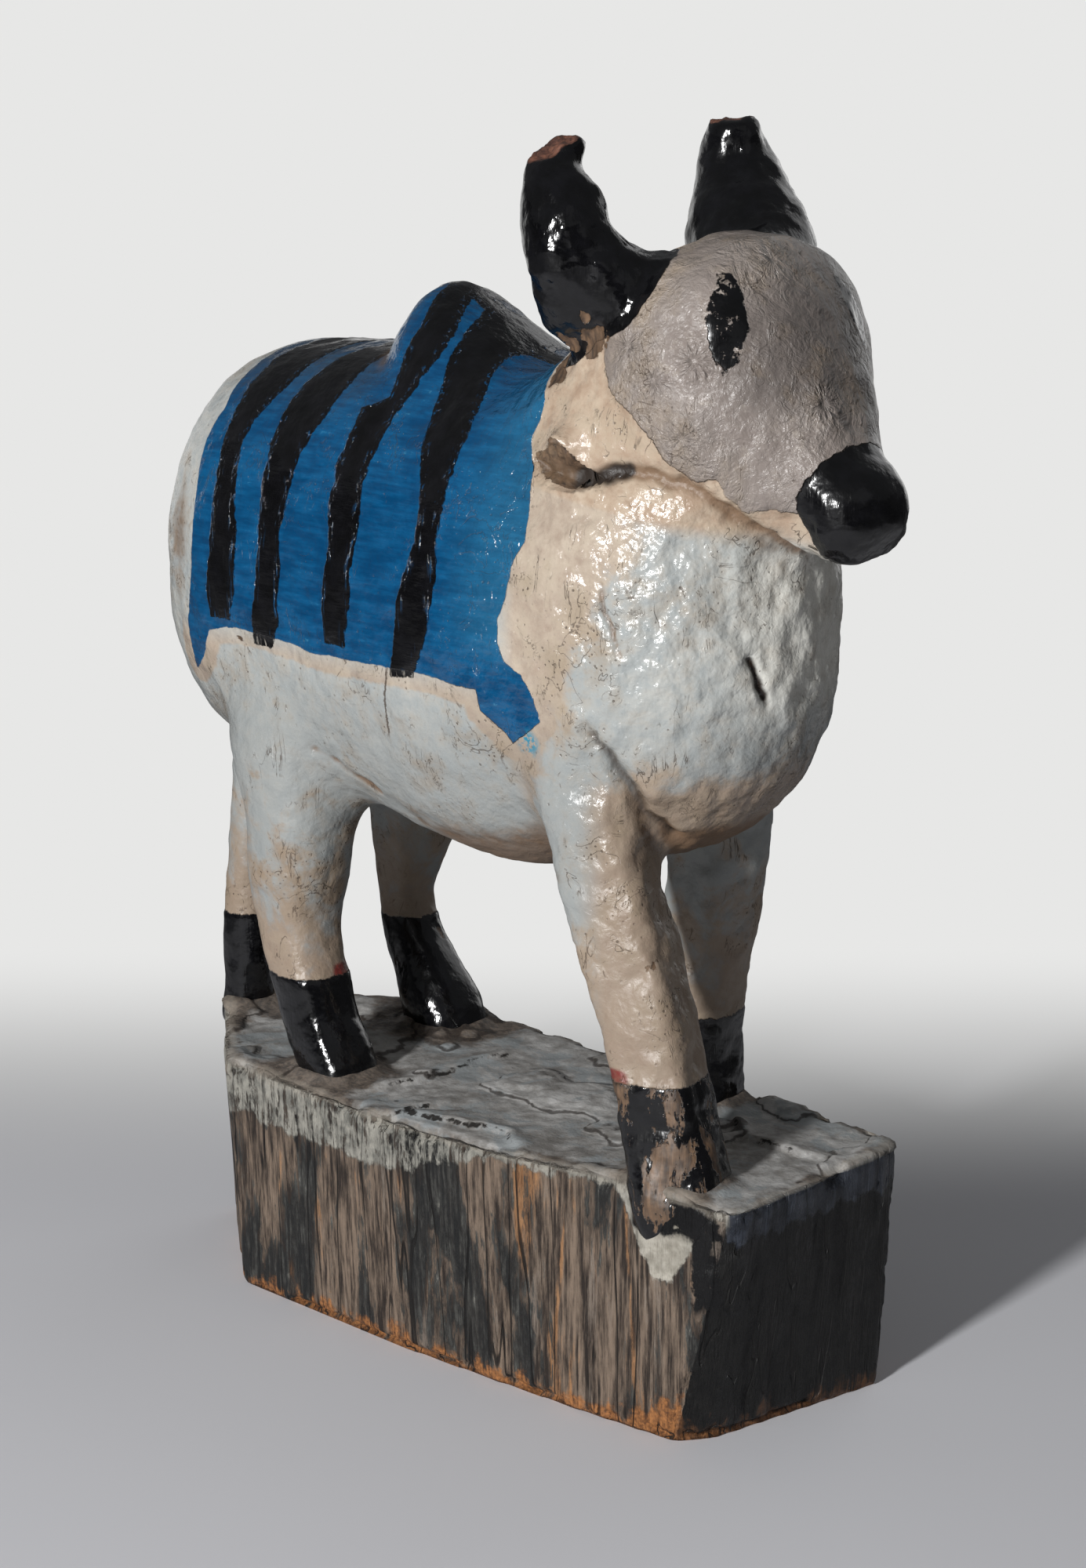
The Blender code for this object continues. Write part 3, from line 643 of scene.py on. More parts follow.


# depth, painted shadow and dirt fall off as exp(-(distance / width)^2) beside each groove
def grooveDepth(points):
    wander = points + 0.0008 * np.stack([fractal(points, 0.004, 70 + k, 2) for k in range(3)], -1)
    depth, grooveShade, soil = np.zeros((3, len(points)))
    for groove in grooves:
        near = np.min([np.linalg.norm(away, axis=1) for away, _ in stretches(wander, groove["line"])], axis=0)
        fall = np.exp(-(near / groove["width"]) ** 2)
        depth = np.maximum(depth, fall * groove["depth"])
        grooveShade = np.maximum(grooveShade, fall * (1 - groove["soil"]))
        soil = np.maximum(soil, fall * groove["soil"])
    return depth, grooveShade, soil


# how thick the coats and how deep the losses are
coat = {"lump": 0.0006, "dimple": 0.00024, "daub": 0.00034, "face": 0.0007, "stripe": 0.0003, "eye": 0.0003,
        "muzzle": 0.0005, "hoof": 0.0004, "flake": 0.0005, "splinter": 0.0011}


# thick paint: lumps all over, raised fields with soft rims, lost flakes and grooves
def reliefSkin():
    points, quads = skin["points"], skin["quads"]
    field = paintFields(points)
    normals = pointNormals(points, quads)
    field["crease"] = hollowness(points, quads, 30)
    x, y, z = points.T * 1000
    ragged = fractal(points, 0.004, 5, 3)
    chest = rise(x, 30, 60) * (1 - rise(field["face"], -2, 1))
    ends = rise(field["muzzle"] + ragged, -0.5, 0.8)
    raised = fractal(points, 0.016, 21, 3) * coat["lump"]
    raised += fractal(points, 0.0060, 31, 3) * (coat["dimple"] + coat["daub"] * chest)
    raised += coat["face"] * rise(field["face"] + ragged * 1.6, -0.8, 0.8) * (1 - ends)
    raised += coat["muzzle"] * ends
    raised += coat["stripe"] * rise(field["stripe"] + ragged * 1.2, -0.4, 0.6) * rise(field["blanket"], -2, 1)
    raised += coat["eye"] * rise(field["eye"] + ragged * 0.5, -0.4, 0.6)
    raised += coat["hoof"] * rise(field["hoof"] + ragged * 0.7, -0.4, 0.6)

    # dirt and painted shadow in the grooves, dirt on the rump, and dirt with painted shade under the belly
    depth, field["grooveShade"], field["soil"] = grooveDepth(points)
    field["soil"] += 0.7 * np.exp(-(((x + 96) / 7) ** 2 + ((z - 222) / 20) ** 2)) * (y < -10)
    # faces turned down under the belly get dirt and painted shade
    bellyDirtShade = rise(-normals[:, 2], 0.45, 0.85) * rise(-np.abs(z - 150), -16, -10)
    field["soil"] += 0.9 * bellyDirtShade * rise(x, -30, 5)

    # paint lost from the white coat, round the raw spots and down the horns
    flake = fractal(points, 0.016, 51, 5) - 1.12
    flake -= 2 * rise(field["face"], -4, 0) + 2 * rise(field["blanket"], -3, 0)
    crumbs = 0.7 * fractal(points, 0.006, 53, 4)
    for u, v, w, radius in rawSpots:
        near = np.sqrt((x - u) ** 2 + (y - v) ** 2 + (z - w) ** 2)
        flake = np.maximum(flake, 0.5 * (1 - near / radius) + crumbs)
    streak = fractal(points * (1, 1, 0.4), 0.007, 73, 4) - 1.25 + 0.45 * (1 - rise(z, 290, 306))
    flake = np.maximum(flake, streak - 2 * (1 - rise(field["horn"], 0.5, 3.0)))

    # splintered wood on the broken ends
    horn = np.maximum(skin["broken"]["horn_right"], skin["broken"]["horn_left"])
    ear, away = skin["broken"]["ear_right"], breaks["away"] * 1000 + 1
    field["worn"] = np.where(horn > away, horn + 0.4 + ragged * 0.9, outside)
    field["flake"] = np.maximum(flake, np.where(ear > away, ear * 0.35 + 0.10 + 0.25 * ragged, -9))
    torn = np.maximum(rise(horn, -0.2, 0.6), rise(ear, -0.2, 0.8))
    raised += torn * coat["splinter"] * fractal(points, 0.0035, 55, 3)
    raised -= coat["flake"] * rise(field["flake"], 0.0, 0.12) + depth
    skin["points"] = points + normals * raised[:, None]
    skin["field"] = field


reliefSkin()
print("skin relief")


# smooth faces, and the fields that the materials read
def giveFields(piece, fields):
    mesh = piece.data
    mesh.polygons.foreach_set("use_smooth", np.ones(len(mesh.polygons), bool))
    for label, values in fields.items():
        mesh.attributes.new(label, "FLOAT", "POINT").data.foreach_set("value", np.asarray(values, np.float32))


# the least vertex number in each edge's loop, passed along the edges until nothing changes
def loopLabels(start, stop, count):
    label, before = np.arange(count), np.zeros(count)
    while (label != before).any():
        before = label.copy()
        np.minimum.at(label, start, before[stop])
        np.minimum.at(label, stop, before[start])
    return label[start]


# one solid's share of the skin; each open loop closes with a fan to a point behind its middle
def skinPiece(name, cells, normals):
    used, cells = np.unique(cells, return_inverse=True)
    cells = cells.reshape(-1, 4)
    verts, outward = skin["points"][used], normals[used]
    start, stop = cells.ravel(), np.roll(cells, -1, axis=1).ravel()
    rim = ~np.isin(start * len(used) + stop, stop * len(used) + start)
    start, stop = start[rim], stop[rim]
    labels = loopLabels(start, stop, len(used))
    faces, middles = cells.tolist(), []
    for label in np.unique(labels):
        first, second = start[labels == label], stop[labels == label]
        middle = verts[first].mean(axis=0)
        wide = np.linalg.norm(verts[first] - middle, axis=1).mean()
        faces += np.stack([second, first, np.full(len(first), len(used) + len(middles))], -1).tolist()
        middles.append(middle - outward[first].mean(axis=0) * wide * 0.5)
    piece = makeObject("painted_" + name, np.vstack([verts] + middles), faces)
    giveFields(piece, {label: np.concatenate([values[used], np.full(len(middles), outside)])
                       for label, values in skin["field"].items()})
    outward = np.vstack([outward] + [(0.0, 0.0, 1.0)] * len(middles))
    piece.data.normals_split_custom_set_from_vertices(outward.tolist())
    print(name, len(cells), "cells", len(middles), "loops")
    return piece


# the skin is shared out between the named solids
def shareSkin():
    normals = pointNormals(skin["points"], skin["quads"])
    names, owner = regionOf(skin["smooth"][skin["quads"]].mean(axis=1))
    return {name: skinPiece(name, skin["quads"][owner == k], normals) for k, name in enumerate(names)}


pieces = shareSkin()


plinth = {
    "height": 0.070, "cell": 0.00115, "furrow": 0.0005, "hair": 0.00025, "crumb": 0.0003, "chip": 0.0016,
    "flakes": (0.0009, 0.0007), "bare": -0.0008, "highest": 0.0032,
    "lip": 0.0020, "lipReach": 0.006, "collar": 0.0022, "collarReach": 0.0035,
    "cracks": [[(-0.0265, -0.0290), (-0.0244, -0.0204), (-0.0227, -0.0087), (-0.0242, 0.0050),
                (-0.0227, 0.0158)],
               [(-0.0116, -0.0471), (-0.0074, -0.0448), (-0.0048, -0.0328)],
               [(-0.0048, -0.0400), (0.0148, -0.0355), (0.0274, -0.0321), (0.0330, -0.0370)],
               [(0.0640, 0.0180), (0.0760, 0.0100), (0.0930, 0.0120)]],
    "top": [(-0.128, -0.0045), (-0.125, -0.0075), (-0.078, -0.046), (-0.004, -0.048), (0.038, -0.044),
            (0.062, -0.038), (0.109, -0.035), (0.112, -0.032), (0.109, 0.036), (0.098, 0.042),
            (-0.068, 0.042), (-0.125, 0.0075)],
    "foot": [(-0.124, -0.0045), (-0.121, -0.0075), (-0.074, -0.044), (-0.004, -0.044), (0.038, -0.041),
             (0.062, -0.039), (0.092, -0.0355), (0.098, -0.026), (0.106, 0.032), (0.096, 0.038),
             (-0.066, 0.038), (-0.121, 0.0075)],
}


# the block: straight lines between the foot and the top outline, then worn edges, grain and lifted flakes
def plinthPiece():
    split = np.linspace(0, 1, 8, endpoint=False)[:, None]
    outlines = [np.array(plinth["top"]), np.array(plinth["foot"])]
    top, foot = [np.concatenate([a + (b - a) * split for a, b in zip(corners, np.roll(corners, -1, axis=0))])
                 for corners in outlines]
    level = np.linspace(0, 1, 15)[:, None]
    grid = np.empty((15, len(top), 3))
    grid[:, :, :2] = foot + (top - foot) * level[:, :, None]
    grid[:, :, 2] = level * plinth["height"]
    points, quads = fuse([closedGrid(grid, (0, 0, 0), (0, 0, plinth["height"]))], plinth["cell"])
    points = relax(points, quads, 0.5, 8)
    normals = pointNormals(points, quads)
    edge = hollowness(points, quads, 20)
    upper, under = rise(normals[:, 2], 0.4, 0.8), rise(-normals[:, 2], 0.4, 0.8)
    wall = (1 - upper) * (1 - under)
    grain = points * (1, 1, 0.06)
    furrow = fractal(grain, 0.006, 91, 4) * plinth["furrow"] + fractal(grain, 0.0022, 95, 2) * plinth["hair"]
    lift = fractal(points * (1, 1, 0.3), 0.022, 101, 4)
    low, high = plinth["flakes"]
    flakes = rise(lift, 0.05, 0.13) * low + rise(lift, 0.42, 0.5) * high + plinth["bare"]

    # paint stands up along one side of each crack, and in a collar round each hoof
    crack, beside = np.full(len(points), 1.0), np.zeros(len(points))
    wander = points[:, :2] + 0.0012 * np.stack([fractal(points, 0.010, 121 + k, 2) for k in range(2)], -1)
    for line in plinth["cracks"]:
        for away, along in stretches(wander, line):
            size = np.linalg.norm(away, axis=1)
            beside = np.where(size < crack, away @ np.array((along[1], -along[0])), beside)
            crack = np.minimum(crack, size)
    flakes += plinth["lip"] * np.exp(-crack / plinth["lipReach"]) * rise(-beside, -0.0012, 0.0012)
    for limb in limbs.values():
        away = np.maximum(limbDistance(points, limb), 0)
        flakes += plinth["collar"] * np.exp(-(away / plinth["collarReach"]) ** 2)
    chips = -plinth["chip"] * rise(-edge, 0.25, 0.8) * rise(fractal(points, 0.010, 111, 4), -0.1, 0.5)
    raised = wall * furrow + upper * (flakes + fractal(points, 0.005, 115, 3) * plinth["crumb"]) + chips
    raised = np.where(points[:, 2] < 0.0015, np.minimum(raised, 0) * wall, raised)
    points = points + normals * raised[:, None]
    points[:, 2] = np.clip(points[:, 2], 0, plinth["height"] + plinth["highest"])
    piece = makeObject("weathered_plinth", points, quads.tolist())
    giveFields(piece, {"upper": upper, "front": rise(normals[:, 0], 0.35, 0.75) * wall, "edge": -edge,
                       "lift": lift, "wall": wall, "crack": np.minimum(crack, 0.05) * 1000})
    return piece


pieces["plinth"] = plinthPiece()
print("plinth")


# a shader value that takes plain arithmetic; node() adds any other node
class Value:
    def __init__(self, tree, socket=None):
        self.tree, self.socket = tree, socket

    def node(self, kind, inputs=None, output=0, **settings):
        item = self.tree.nodes.new(kind)
        for key, setting in settings.items():
            setattr(item, key, setting)
        for key, value in (inputs or {}).items():
            if isinstance(value, Value):
                self.tree.links.new(value.socket, item.inputs[key])
            else:
                item.inputs[key].default_value = value
        return Value(self.tree, item.outputs[output])

    def math(self, operation, first, second):
        return self.node("ShaderNodeMath", {0: first, 1: second}, operation=operation)

    def __add__(self, other):
        return self.math("ADD", self, other)

    def __radd__(self, other):
        return self.math("ADD", other, self)

    def __sub__(self, other):
        return self.math("SUBTRACT", self, other)

    def __rsub__(self, other):
        return self.math("SUBTRACT", other, self)

    def __mul__(self, other):
        return self.math("MULTIPLY", self, other)

    def __rmul__(self, other):
        return self.math("MULTIPLY", other, self)

    def top(self, other):
        return self.math("MAXIMUM", self, other)

    def size(self):
        return self.math("ABSOLUTE", self, 0.0)

    # smooth step from 0 at low to 1 at high, falling where low is the larger
    def step(self, low, high):
        return self.node("ShaderNodeMapRange", {"Value": self, "From Min": low, "From Max": high}, "Result",
                         interpolation_type="SMOOTHSTEP")

    def mix(self, first, second):
        return self.node("ShaderNodeMix", {0: self, 6: first, 7: second}, 2, data_type="RGBA")

    def stretch(self, x, y, z):
        return self.node("ShaderNodeVectorMath", {0: self, 1: (x, y, z)}, operation="MULTIPLY")

    def noise(self, scale, detail=4.0, rough=0.55, warp=0.0):
        inputs = {"Vector": self, "Scale": scale, "Detail": detail, "Roughness": rough, "Distortion": warp}
        return self.node("ShaderNodeTexNoise", inputs, "Fac")

    def cells(self, scale):
        return self.node("ShaderNodeTexVoronoi", {"Vector": self, "Scale": scale}, "Distance")

    def field(self, name):
        return self.node("ShaderNodeAttribute", None, "Fac", attribute_name=name)

    def place(self):
        return self.node("ShaderNodeTexCoord", None, "Object")

    # places and distances are in millimetres
    def axis(self, name):
        return self.node("ShaderNodeSeparateXYZ", {0: self}, name) * 1000.0

    def near(self, x, y, z):
        point = (x / 1000, y / 1000, z / 1000)
        return self.node("ShaderNodeVectorMath", {0: self, 1: point}, "Value", operation="DISTANCE") * 1000.0

    # thin lines where a noise crosses its middle value
    def veins(self, scale, width, detail=3.0, warp=0.6):
        return (self.noise(scale, detail, 0.55, warp) - 0.5).size().step(width, width * 0.3)


# a screen colour in 0 to 255 as a linear colour
def tone(*levels):
    shares = [level / 255 for level in levels]
    return tuple(((c + 0.055) / 1.055) ** 2.4 if c > 0.0405 else c / 12.92 for c in shares) + (1.0,)


def newMaterial(name):
    material = bpy.data.materials.new(name)
    material.use_nodes = True
    tree = material.node_tree
    return material, Value(tree), tree.nodes["Principled BSDF"]


def wire(root, shader, colour, rough, height, shine=0.3):
    root.tree.links.new(colour.socket, shader.inputs["Base Color"])
    root.tree.links.new(rough.socket, shader.inputs["Roughness"])
    normal = root.node("ShaderNodeBump", {"Height": height, "Strength": 1.0, "Distance": 0.001}, "Normal")
    root.tree.links.new(normal.socket, shader.inputs["Normal"])
    shader.inputs["Specular IOR Level"].default_value = shine


paints = {
    "white": (tone(156, 161, 161), tone(182, 181, 175)), "cream": (tone(160, 137, 117), tone(194, 178, 158)),
    "lowShade": (tone(136, 139, 138), tone(128, 113, 99)), "breastLight": tone(232, 230, 221),
    "lilac": (tone(132, 122, 116), tone(150, 141, 135)), "lilacPale": tone(168, 159, 151),
    "lilacShade": tone(104, 97, 93), "cheek": tone(164, 146, 124),
    "blue": (tone(2, 57, 95), tone(11, 80, 123)), "blueThin": tone(48, 112, 144),
    "blueStreakGlint": tone(80, 150, 176), "blueWorn": tone(50, 74, 82), "blueDustShade": tone(54, 64, 70),
    "splash": tone(34, 128, 156), "splashAt": (46, -43.7, 184),
    "black": (tone(5, 5, 6), tone(14, 14, 17)),
    "red": tone(112, 28, 28), "redAt": [(72.5, -36.6, 96.5), (-49, -24.5, 98)],
    "wood": (tone(48, 37, 29), tone(116, 91, 69)), "broken": (tone(58, 38, 33), tone(122, 82, 66)),
    "stain": tone(128, 110, 88), "creaseDirtShade": tone(92, 72, 53), "soil": tone(106, 79, 54),
    "grooveShadow": tone(38, 29, 22), "mark": tone(66, 52, 40),
    "glints": (79, -37, 226),
    "stars": [(112.8, -7.1, 274.8), (81.5, -35.7, 280.4), (92.3, -32.4, 285.6), (72.5, -35.0, 288.0),
              (89.8, -33.7, 266.4), (95.2, -7.2, 309.3)],
}


# old house paint: white coats, blanket, stripes, face and black ends, then wear, dirt and scratches, with
# painted shade and painted light in places
def skinMaterial():
    material, root, shader = newMaterial("thick_old_paint")
    here = root.place()
    x, y, z = here.axis("X"), here.axis("Y"), here.axis("Z")
    broad, patch = here.noise(30, 3), here.noise(80, 4, 0.6, 0.6)
    blotch, fine = here.noise(210, 5, 0.62), here.noise(820, 4, 0.65)
    ragged = (here.noise(340, 4, 0.62) - 0.5) * 2.0
    wander = (here.noise(120, 3, 0.6) - 0.5) * 2.0
    bristle = (here.stretch(1, 1, 0.1).noise(900, 3, 0.6) - 0.5) * 2.0
    blanket, stripe, face = root.field("blanket"), root.field("stripe"), root.field("face")
    mottle = (patch - 0.5) * 2.2 + (blotch - 0.5) * 0.9

    # white coat, cream where it has yellowed, painted shade low down, painted light on the breast
    white = (blotch * 0.6 + patch * 0.5).step(0.38, 0.72).mix(*paints["white"])
    cream = (blotch * 0.7 + patch * 0.4).step(0.35, 0.75).mix(*paints["cream"])
    band = (blanket + ragged * 0.9 + mottle).step(-6.2, -4.8) * z.step(202, 192)
    neck = (z + x * 0.15).step(253, 258) * x.step(34, 42)
    legs = ((146.0 - z) * 0.018 + mottle).step(0.0, 0.7)
    breast = x.step(36, 44) * (((z - 200.0) * 0.42 + 67.0 - x) * 0.07 + mottle).step(0.1, 0.8)
    under = x.step(60, 70) * ((180.0 - z) * 0.10 + mottle).step(-0.1, 0.7)
    warm = (band * 0.8).top(neck).top(legs).top(breast * 0.8).top(under)
    base = warm.mix(white, cream)
    # painted shade: the coat darkens towards the bottom of the body and the legs
    base = (z.step(205, 168) * 0.7).mix(base, warm.mix(*paints["lowShade"]))
    # painted light: the front of the breast is made whiter
    breastLight = x.step(74, 92) * y.step(-30, -6) * z.step(184, 206) * z.step(246, 232)
    base = (breastLight * 0.85).mix(base, paints["breastLight"])

    # grey lilac face, darker on its front as painted shade
    lilac = (patch * 0.6 + broad * 0.6).step(0.45, 0.75).mix(*paints["lilac"])
    lilac = (blotch * 0.6 + fine * 0.35).step(0.52, 0.68).mix(lilac, paints["lilacPale"])
    cheek = face.step(12.0, 1.0) * (mottle * 0.5 + 0.4).step(0.1, 0.8) * x.step(106, 92)
    lilac = (cheek * 0.65).mix(lilac, paints["cheek"])
    # painted shade on the front of the face
    lilac = (x.step(94, 106) * z.step(268, 280) * 0.8).mix(lilac, paints["lilacShade"])
    mask = (face + ragged * 1.1 + wander * 1.6).step(-0.25, 0.3)
    base = mask.mix(base, lilac)

    # blue blanket in brush strokes along the body
    stroke = here.stretch(0.14, 1, 1).noise(520, 4, 0.62)
    blue = (stroke * 0.6 + patch * 0.5).step(0.42, 0.72).mix(*paints["blue"])
    blue = (x.step(12, 40) * z.step(198, 214) * (0.2 + stroke * 0.4)).mix(blue, paints["blueThin"])
    # pale streaks along the strokes: partly lighter paint, partly painted glints
    pale = (stroke * 0.7 + fine * 0.4).step(0.66, 0.78) * patch.step(0.42, 0.6)
    blue = (pale * 0.6).mix(blue, paints["blueStreakGlint"])
    blue = ((patch * 0.6 + fine * 0.4).step(0.60, 0.70) * 0.5).mix(blue, paints["blueWorn"])
    # greyer blue over the top of the back: partly dust, partly painted shade
    blue = (z.step(258, 276) * x.step(-22, -36) * (0.2 + patch * 0.6)).mix(blue, paints["blueDustShade"])
    cover = (blanket + ragged * 0.5 + wander * 0.7 + bristle * 0.2).step(-0.2, 0.2)
    colour = cover.mix(base, blue)
    splash = here.near(*paints["splashAt"]).step(5.0, 1.5) * (blotch + fine * 0.4).step(0.64, 0.74)
    colour = splash.mix(colour, paints["splash"])

    # black stripes, eyes, muzzle, hooves and horns, with a dab of red over two hooves
    dry = bristle.step(0.10, 0.40) * stripe.step(3.4, 0.6)
    black = (stripe + ragged * 0.8 + wander * 1.5 + bristle * 0.7).step(-0.15, 0.25) * (1.0 - dry * 0.85)
    chips = (blotch * 0.7 + fine * 0.4).step(0.61, 0.64)
    eye = (root.field("eye") + ragged * 1.7 + wander * 1.2).step(-0.15, 0.25) * (1.0 - chips)
    ends = (root.field("muzzle") + ragged * 0.8 + wander).step(-0.2, 0.25)
    hoof = (root.field("hoof") + ragged * 0.7 + wander * 0.8 + bristle * 0.4).step(-0.2, 0.25)
    horn = (root.field("horn") + ragged * 0.7 + wander * 0.9).step(-0.2, 0.25)
    ink = black.top(eye).top(ends).top(hoof).top(horn)
    tar = (blotch * 0.7 + patch * 0.4).step(0.4, 0.75).mix(*paints["black"])
    colour = ink.mix(colour, tar)
    fore, hind = paints["redAt"]
    dab = here.near(*fore).step(5.0, 3.5).top(here.near(*hind).step(5.5, 3.5))
    dab = dab * root.field("hoof").step(-4.0, -2.5) * root.field("hoof").step(1.2, 0.4) * (1.0 - hoof)
    colour = dab.mix(colour, paints["red"])

    # bare wood, stains, dirt, dirt with painted shade in creases, painted shadow in grooves, cracks and pits
    grain = here.stretch(1, 1, 0.1).noise(700, 4)
    wood = (grain * 0.7 + blotch * 0.4).step(0.35, 0.75).mix(*paints["wood"])
    foot = x.step(60, 66) * y.step(2, -6) * z.step(98, 95)
    bare = foot * (here.stretch(1, 1, 0.3).noise(150, 4, 0.6, 0.5) + (fine - 0.5) * 0.2).step(0.52, 0.56)
    bare = bare.top((root.field("flake") + (fine - 0.5) * 0.3).step(0.0, 0.05))
    colour = bare.mix(colour, wood)
    worn = root.field("worn").step(-0.1, 0.35)
    colour = worn.mix(colour, (blotch * 0.6 + fine * 0.5).step(0.4, 0.7).mix(*paints["broken"]))
    plain = (1.0 - ink) * (1.0 - cover)
    stain = (broad * 0.5 + patch * 0.5 + blotch * 0.4).step(0.66, 0.92) * plain
    colour = (stain * 0.55).mix(colour, paints["stain"])
    # dirt and painted shade in the creases
    shaded = (root.field("crease") + (blotch - 0.5) * 0.6).step(0.10, 0.8)
    colour = (shaded * 0.7).mix(colour, paints["creaseDirtShade"])
    # brown dirt; under the belly this also stands for painted shade
    soil = (root.field("soil") + (patch - 0.5) * 0.7 + (blotch - 0.5) * 0.5).step(0.22, 0.85)
    colour = (soil * 0.8).mix(colour, paints["soil"])
    # painted shadow inside the grooves
    colour = root.field("grooveShade").step(0.25, 0.8).mix(colour, paints["grooveShadow"])
    line = x + 2.5 + (197.0 - z) * 0.176 + (fine - 0.5) * 1.6
    split = line.size().step(0.5, 0.2) * z.step(176, 180) * z.step(200, 196) * y.step(0, -20)
    scratch = here.stretch(1, 1, 0.25).veins(230, 0.014) * patch.step(0.54, 0.66)
    crack = here.veins(75, 0.009, 4.0, 1.0) * (broad * 0.6 + blotch * 0.4).step(0.50, 0.60)
    pits = here.cells(330).step(0.17, 0.07) * (blotch * 0.6 + broad * 0.5).step(0.50, 0.68)
    pits = pits.top(here.cells(620).step(0.22, 0.10) * (patch * 0.6 + broad * 0.5).step(0.52, 0.70))
    marks = (scratch * 0.8).top(crack * 0.8).top(pits).top(split) * (1.0 - ink)
    colour = (marks * (0.85 - cover * 0.6)).mix(colour, paints["mark"])

    # gloss and relief: lumps, brush marks, wrinkles, and stars of wrinkles on the face
    dull = bare.top(marks).top(soil * 0.7).top(worn)
    gloss = (broad * 0.6 + blotch * 0.5).step(0.40, 0.60) * (1.0 - mask * 0.5)
    gloss = gloss.top(here.near(*paints["glints"]).step(44, 20))
    rough = 0.34 - gloss * 0.12 - ink.top(cover) * 0.10
    rough = rough + (dull + z.step(172, 145) * 0.5 * (1.0 - ink)) * 0.35
    lumps, knobs = here.noise(110, 3, 0.5), here.noise(230, 3, 0.5)
    folds, wrinkle = here.noise(170, 4, 0.6, 3.0), here.noise(380, 4, 0.6, 2.0)
    bumpy = (1.0 - ink) * (1.0 - cover * 0.6)
    knobs = knobs * (0.6 - ink * 0.45 + cover * x.step(5, 35) * 0.8 - z.step(175, 150) * (1.0 - ink) * 0.35)
    daubs = here.near(*paints["glints"]).step(40, 14) * (1.0 - mask)
    height = lumps * (1.3 - ink * 0.5 + daubs * 1.5) + knobs + wrinkle * bumpy * (0.14 + mask * patch * 0.5)
    height = height + folds * mask * bumpy * broad.step(0.36, 0.60) * 1.2 + fine * (0.07 - ink * 0.05)
    height = height + ink * 0.12 + cover * 0.06 - dull * 0.16 + stroke * cover * 0.22 + bristle * ink * 0.05
    for u, v, w in paints["stars"]:
        across, away = (x - u) * 0.71 + (y - v) * 0.71, here.near(u, v, w)
        turn = across.math("ARCTAN2", across, z - w)
        rays = root.node("ShaderNodeCombineXYZ", {0: turn, 1: away * 0.09, 2: u}).noise(3.4, 2, 0.5, 0.4)
        height = height + rays * away.step(9.5, 3.0) * away.step(0.3, 2.0) * mask * bumpy * 1.5
    wire(root, shader, colour, rough, height, 0.55)
    return material


timbers = {
    "brown": (tone(38, 31, 27), tone(122, 106, 92)), "tan": (tone(88, 58, 36), tone(164, 122, 84)),
    "ash": (tone(78, 71, 66), tone(128, 119, 110)), "slate": (tone(20, 22, 23), tone(80, 82, 79)),
    "scuff": tone(128, 124, 116), "tar": (tone(9, 9, 9), tone(24, 23, 22)),
    "raw": (tone(84, 52, 30), tone(168, 112, 64)), "cleft": tone(14, 12, 11),
    "rim": (tone(88, 88, 83), tone(152, 149, 140)), "tongue": (tone(138, 132, 120), tone(186, 180, 168)),
    "frontRim": (tone(24, 28, 36), tone(52, 56, 64)), "drip": tone(10, 10, 11),
    "ground": (tone(122, 119, 115), tone(180, 179, 177)), "groundCool": tone(142, 146, 147),
    "dirt": (tone(48, 39, 33), tone(108, 93, 79)), "peel": tone(40, 33, 29), "crack": tone(22, 18, 15),
    "edge": tone(150, 142, 130), "peg": (tone(150, 112, 74), tone(196, 158, 112)),
    "feet": [(-48, -29, 30, 10, 1.0), (-60, 25, 38, 12, 1.0), (-119, 0, 40, 10, 1.0), (84, -24, 22, 10, 0.7),
             (40, 28, 26, 10, 1.0)],
}


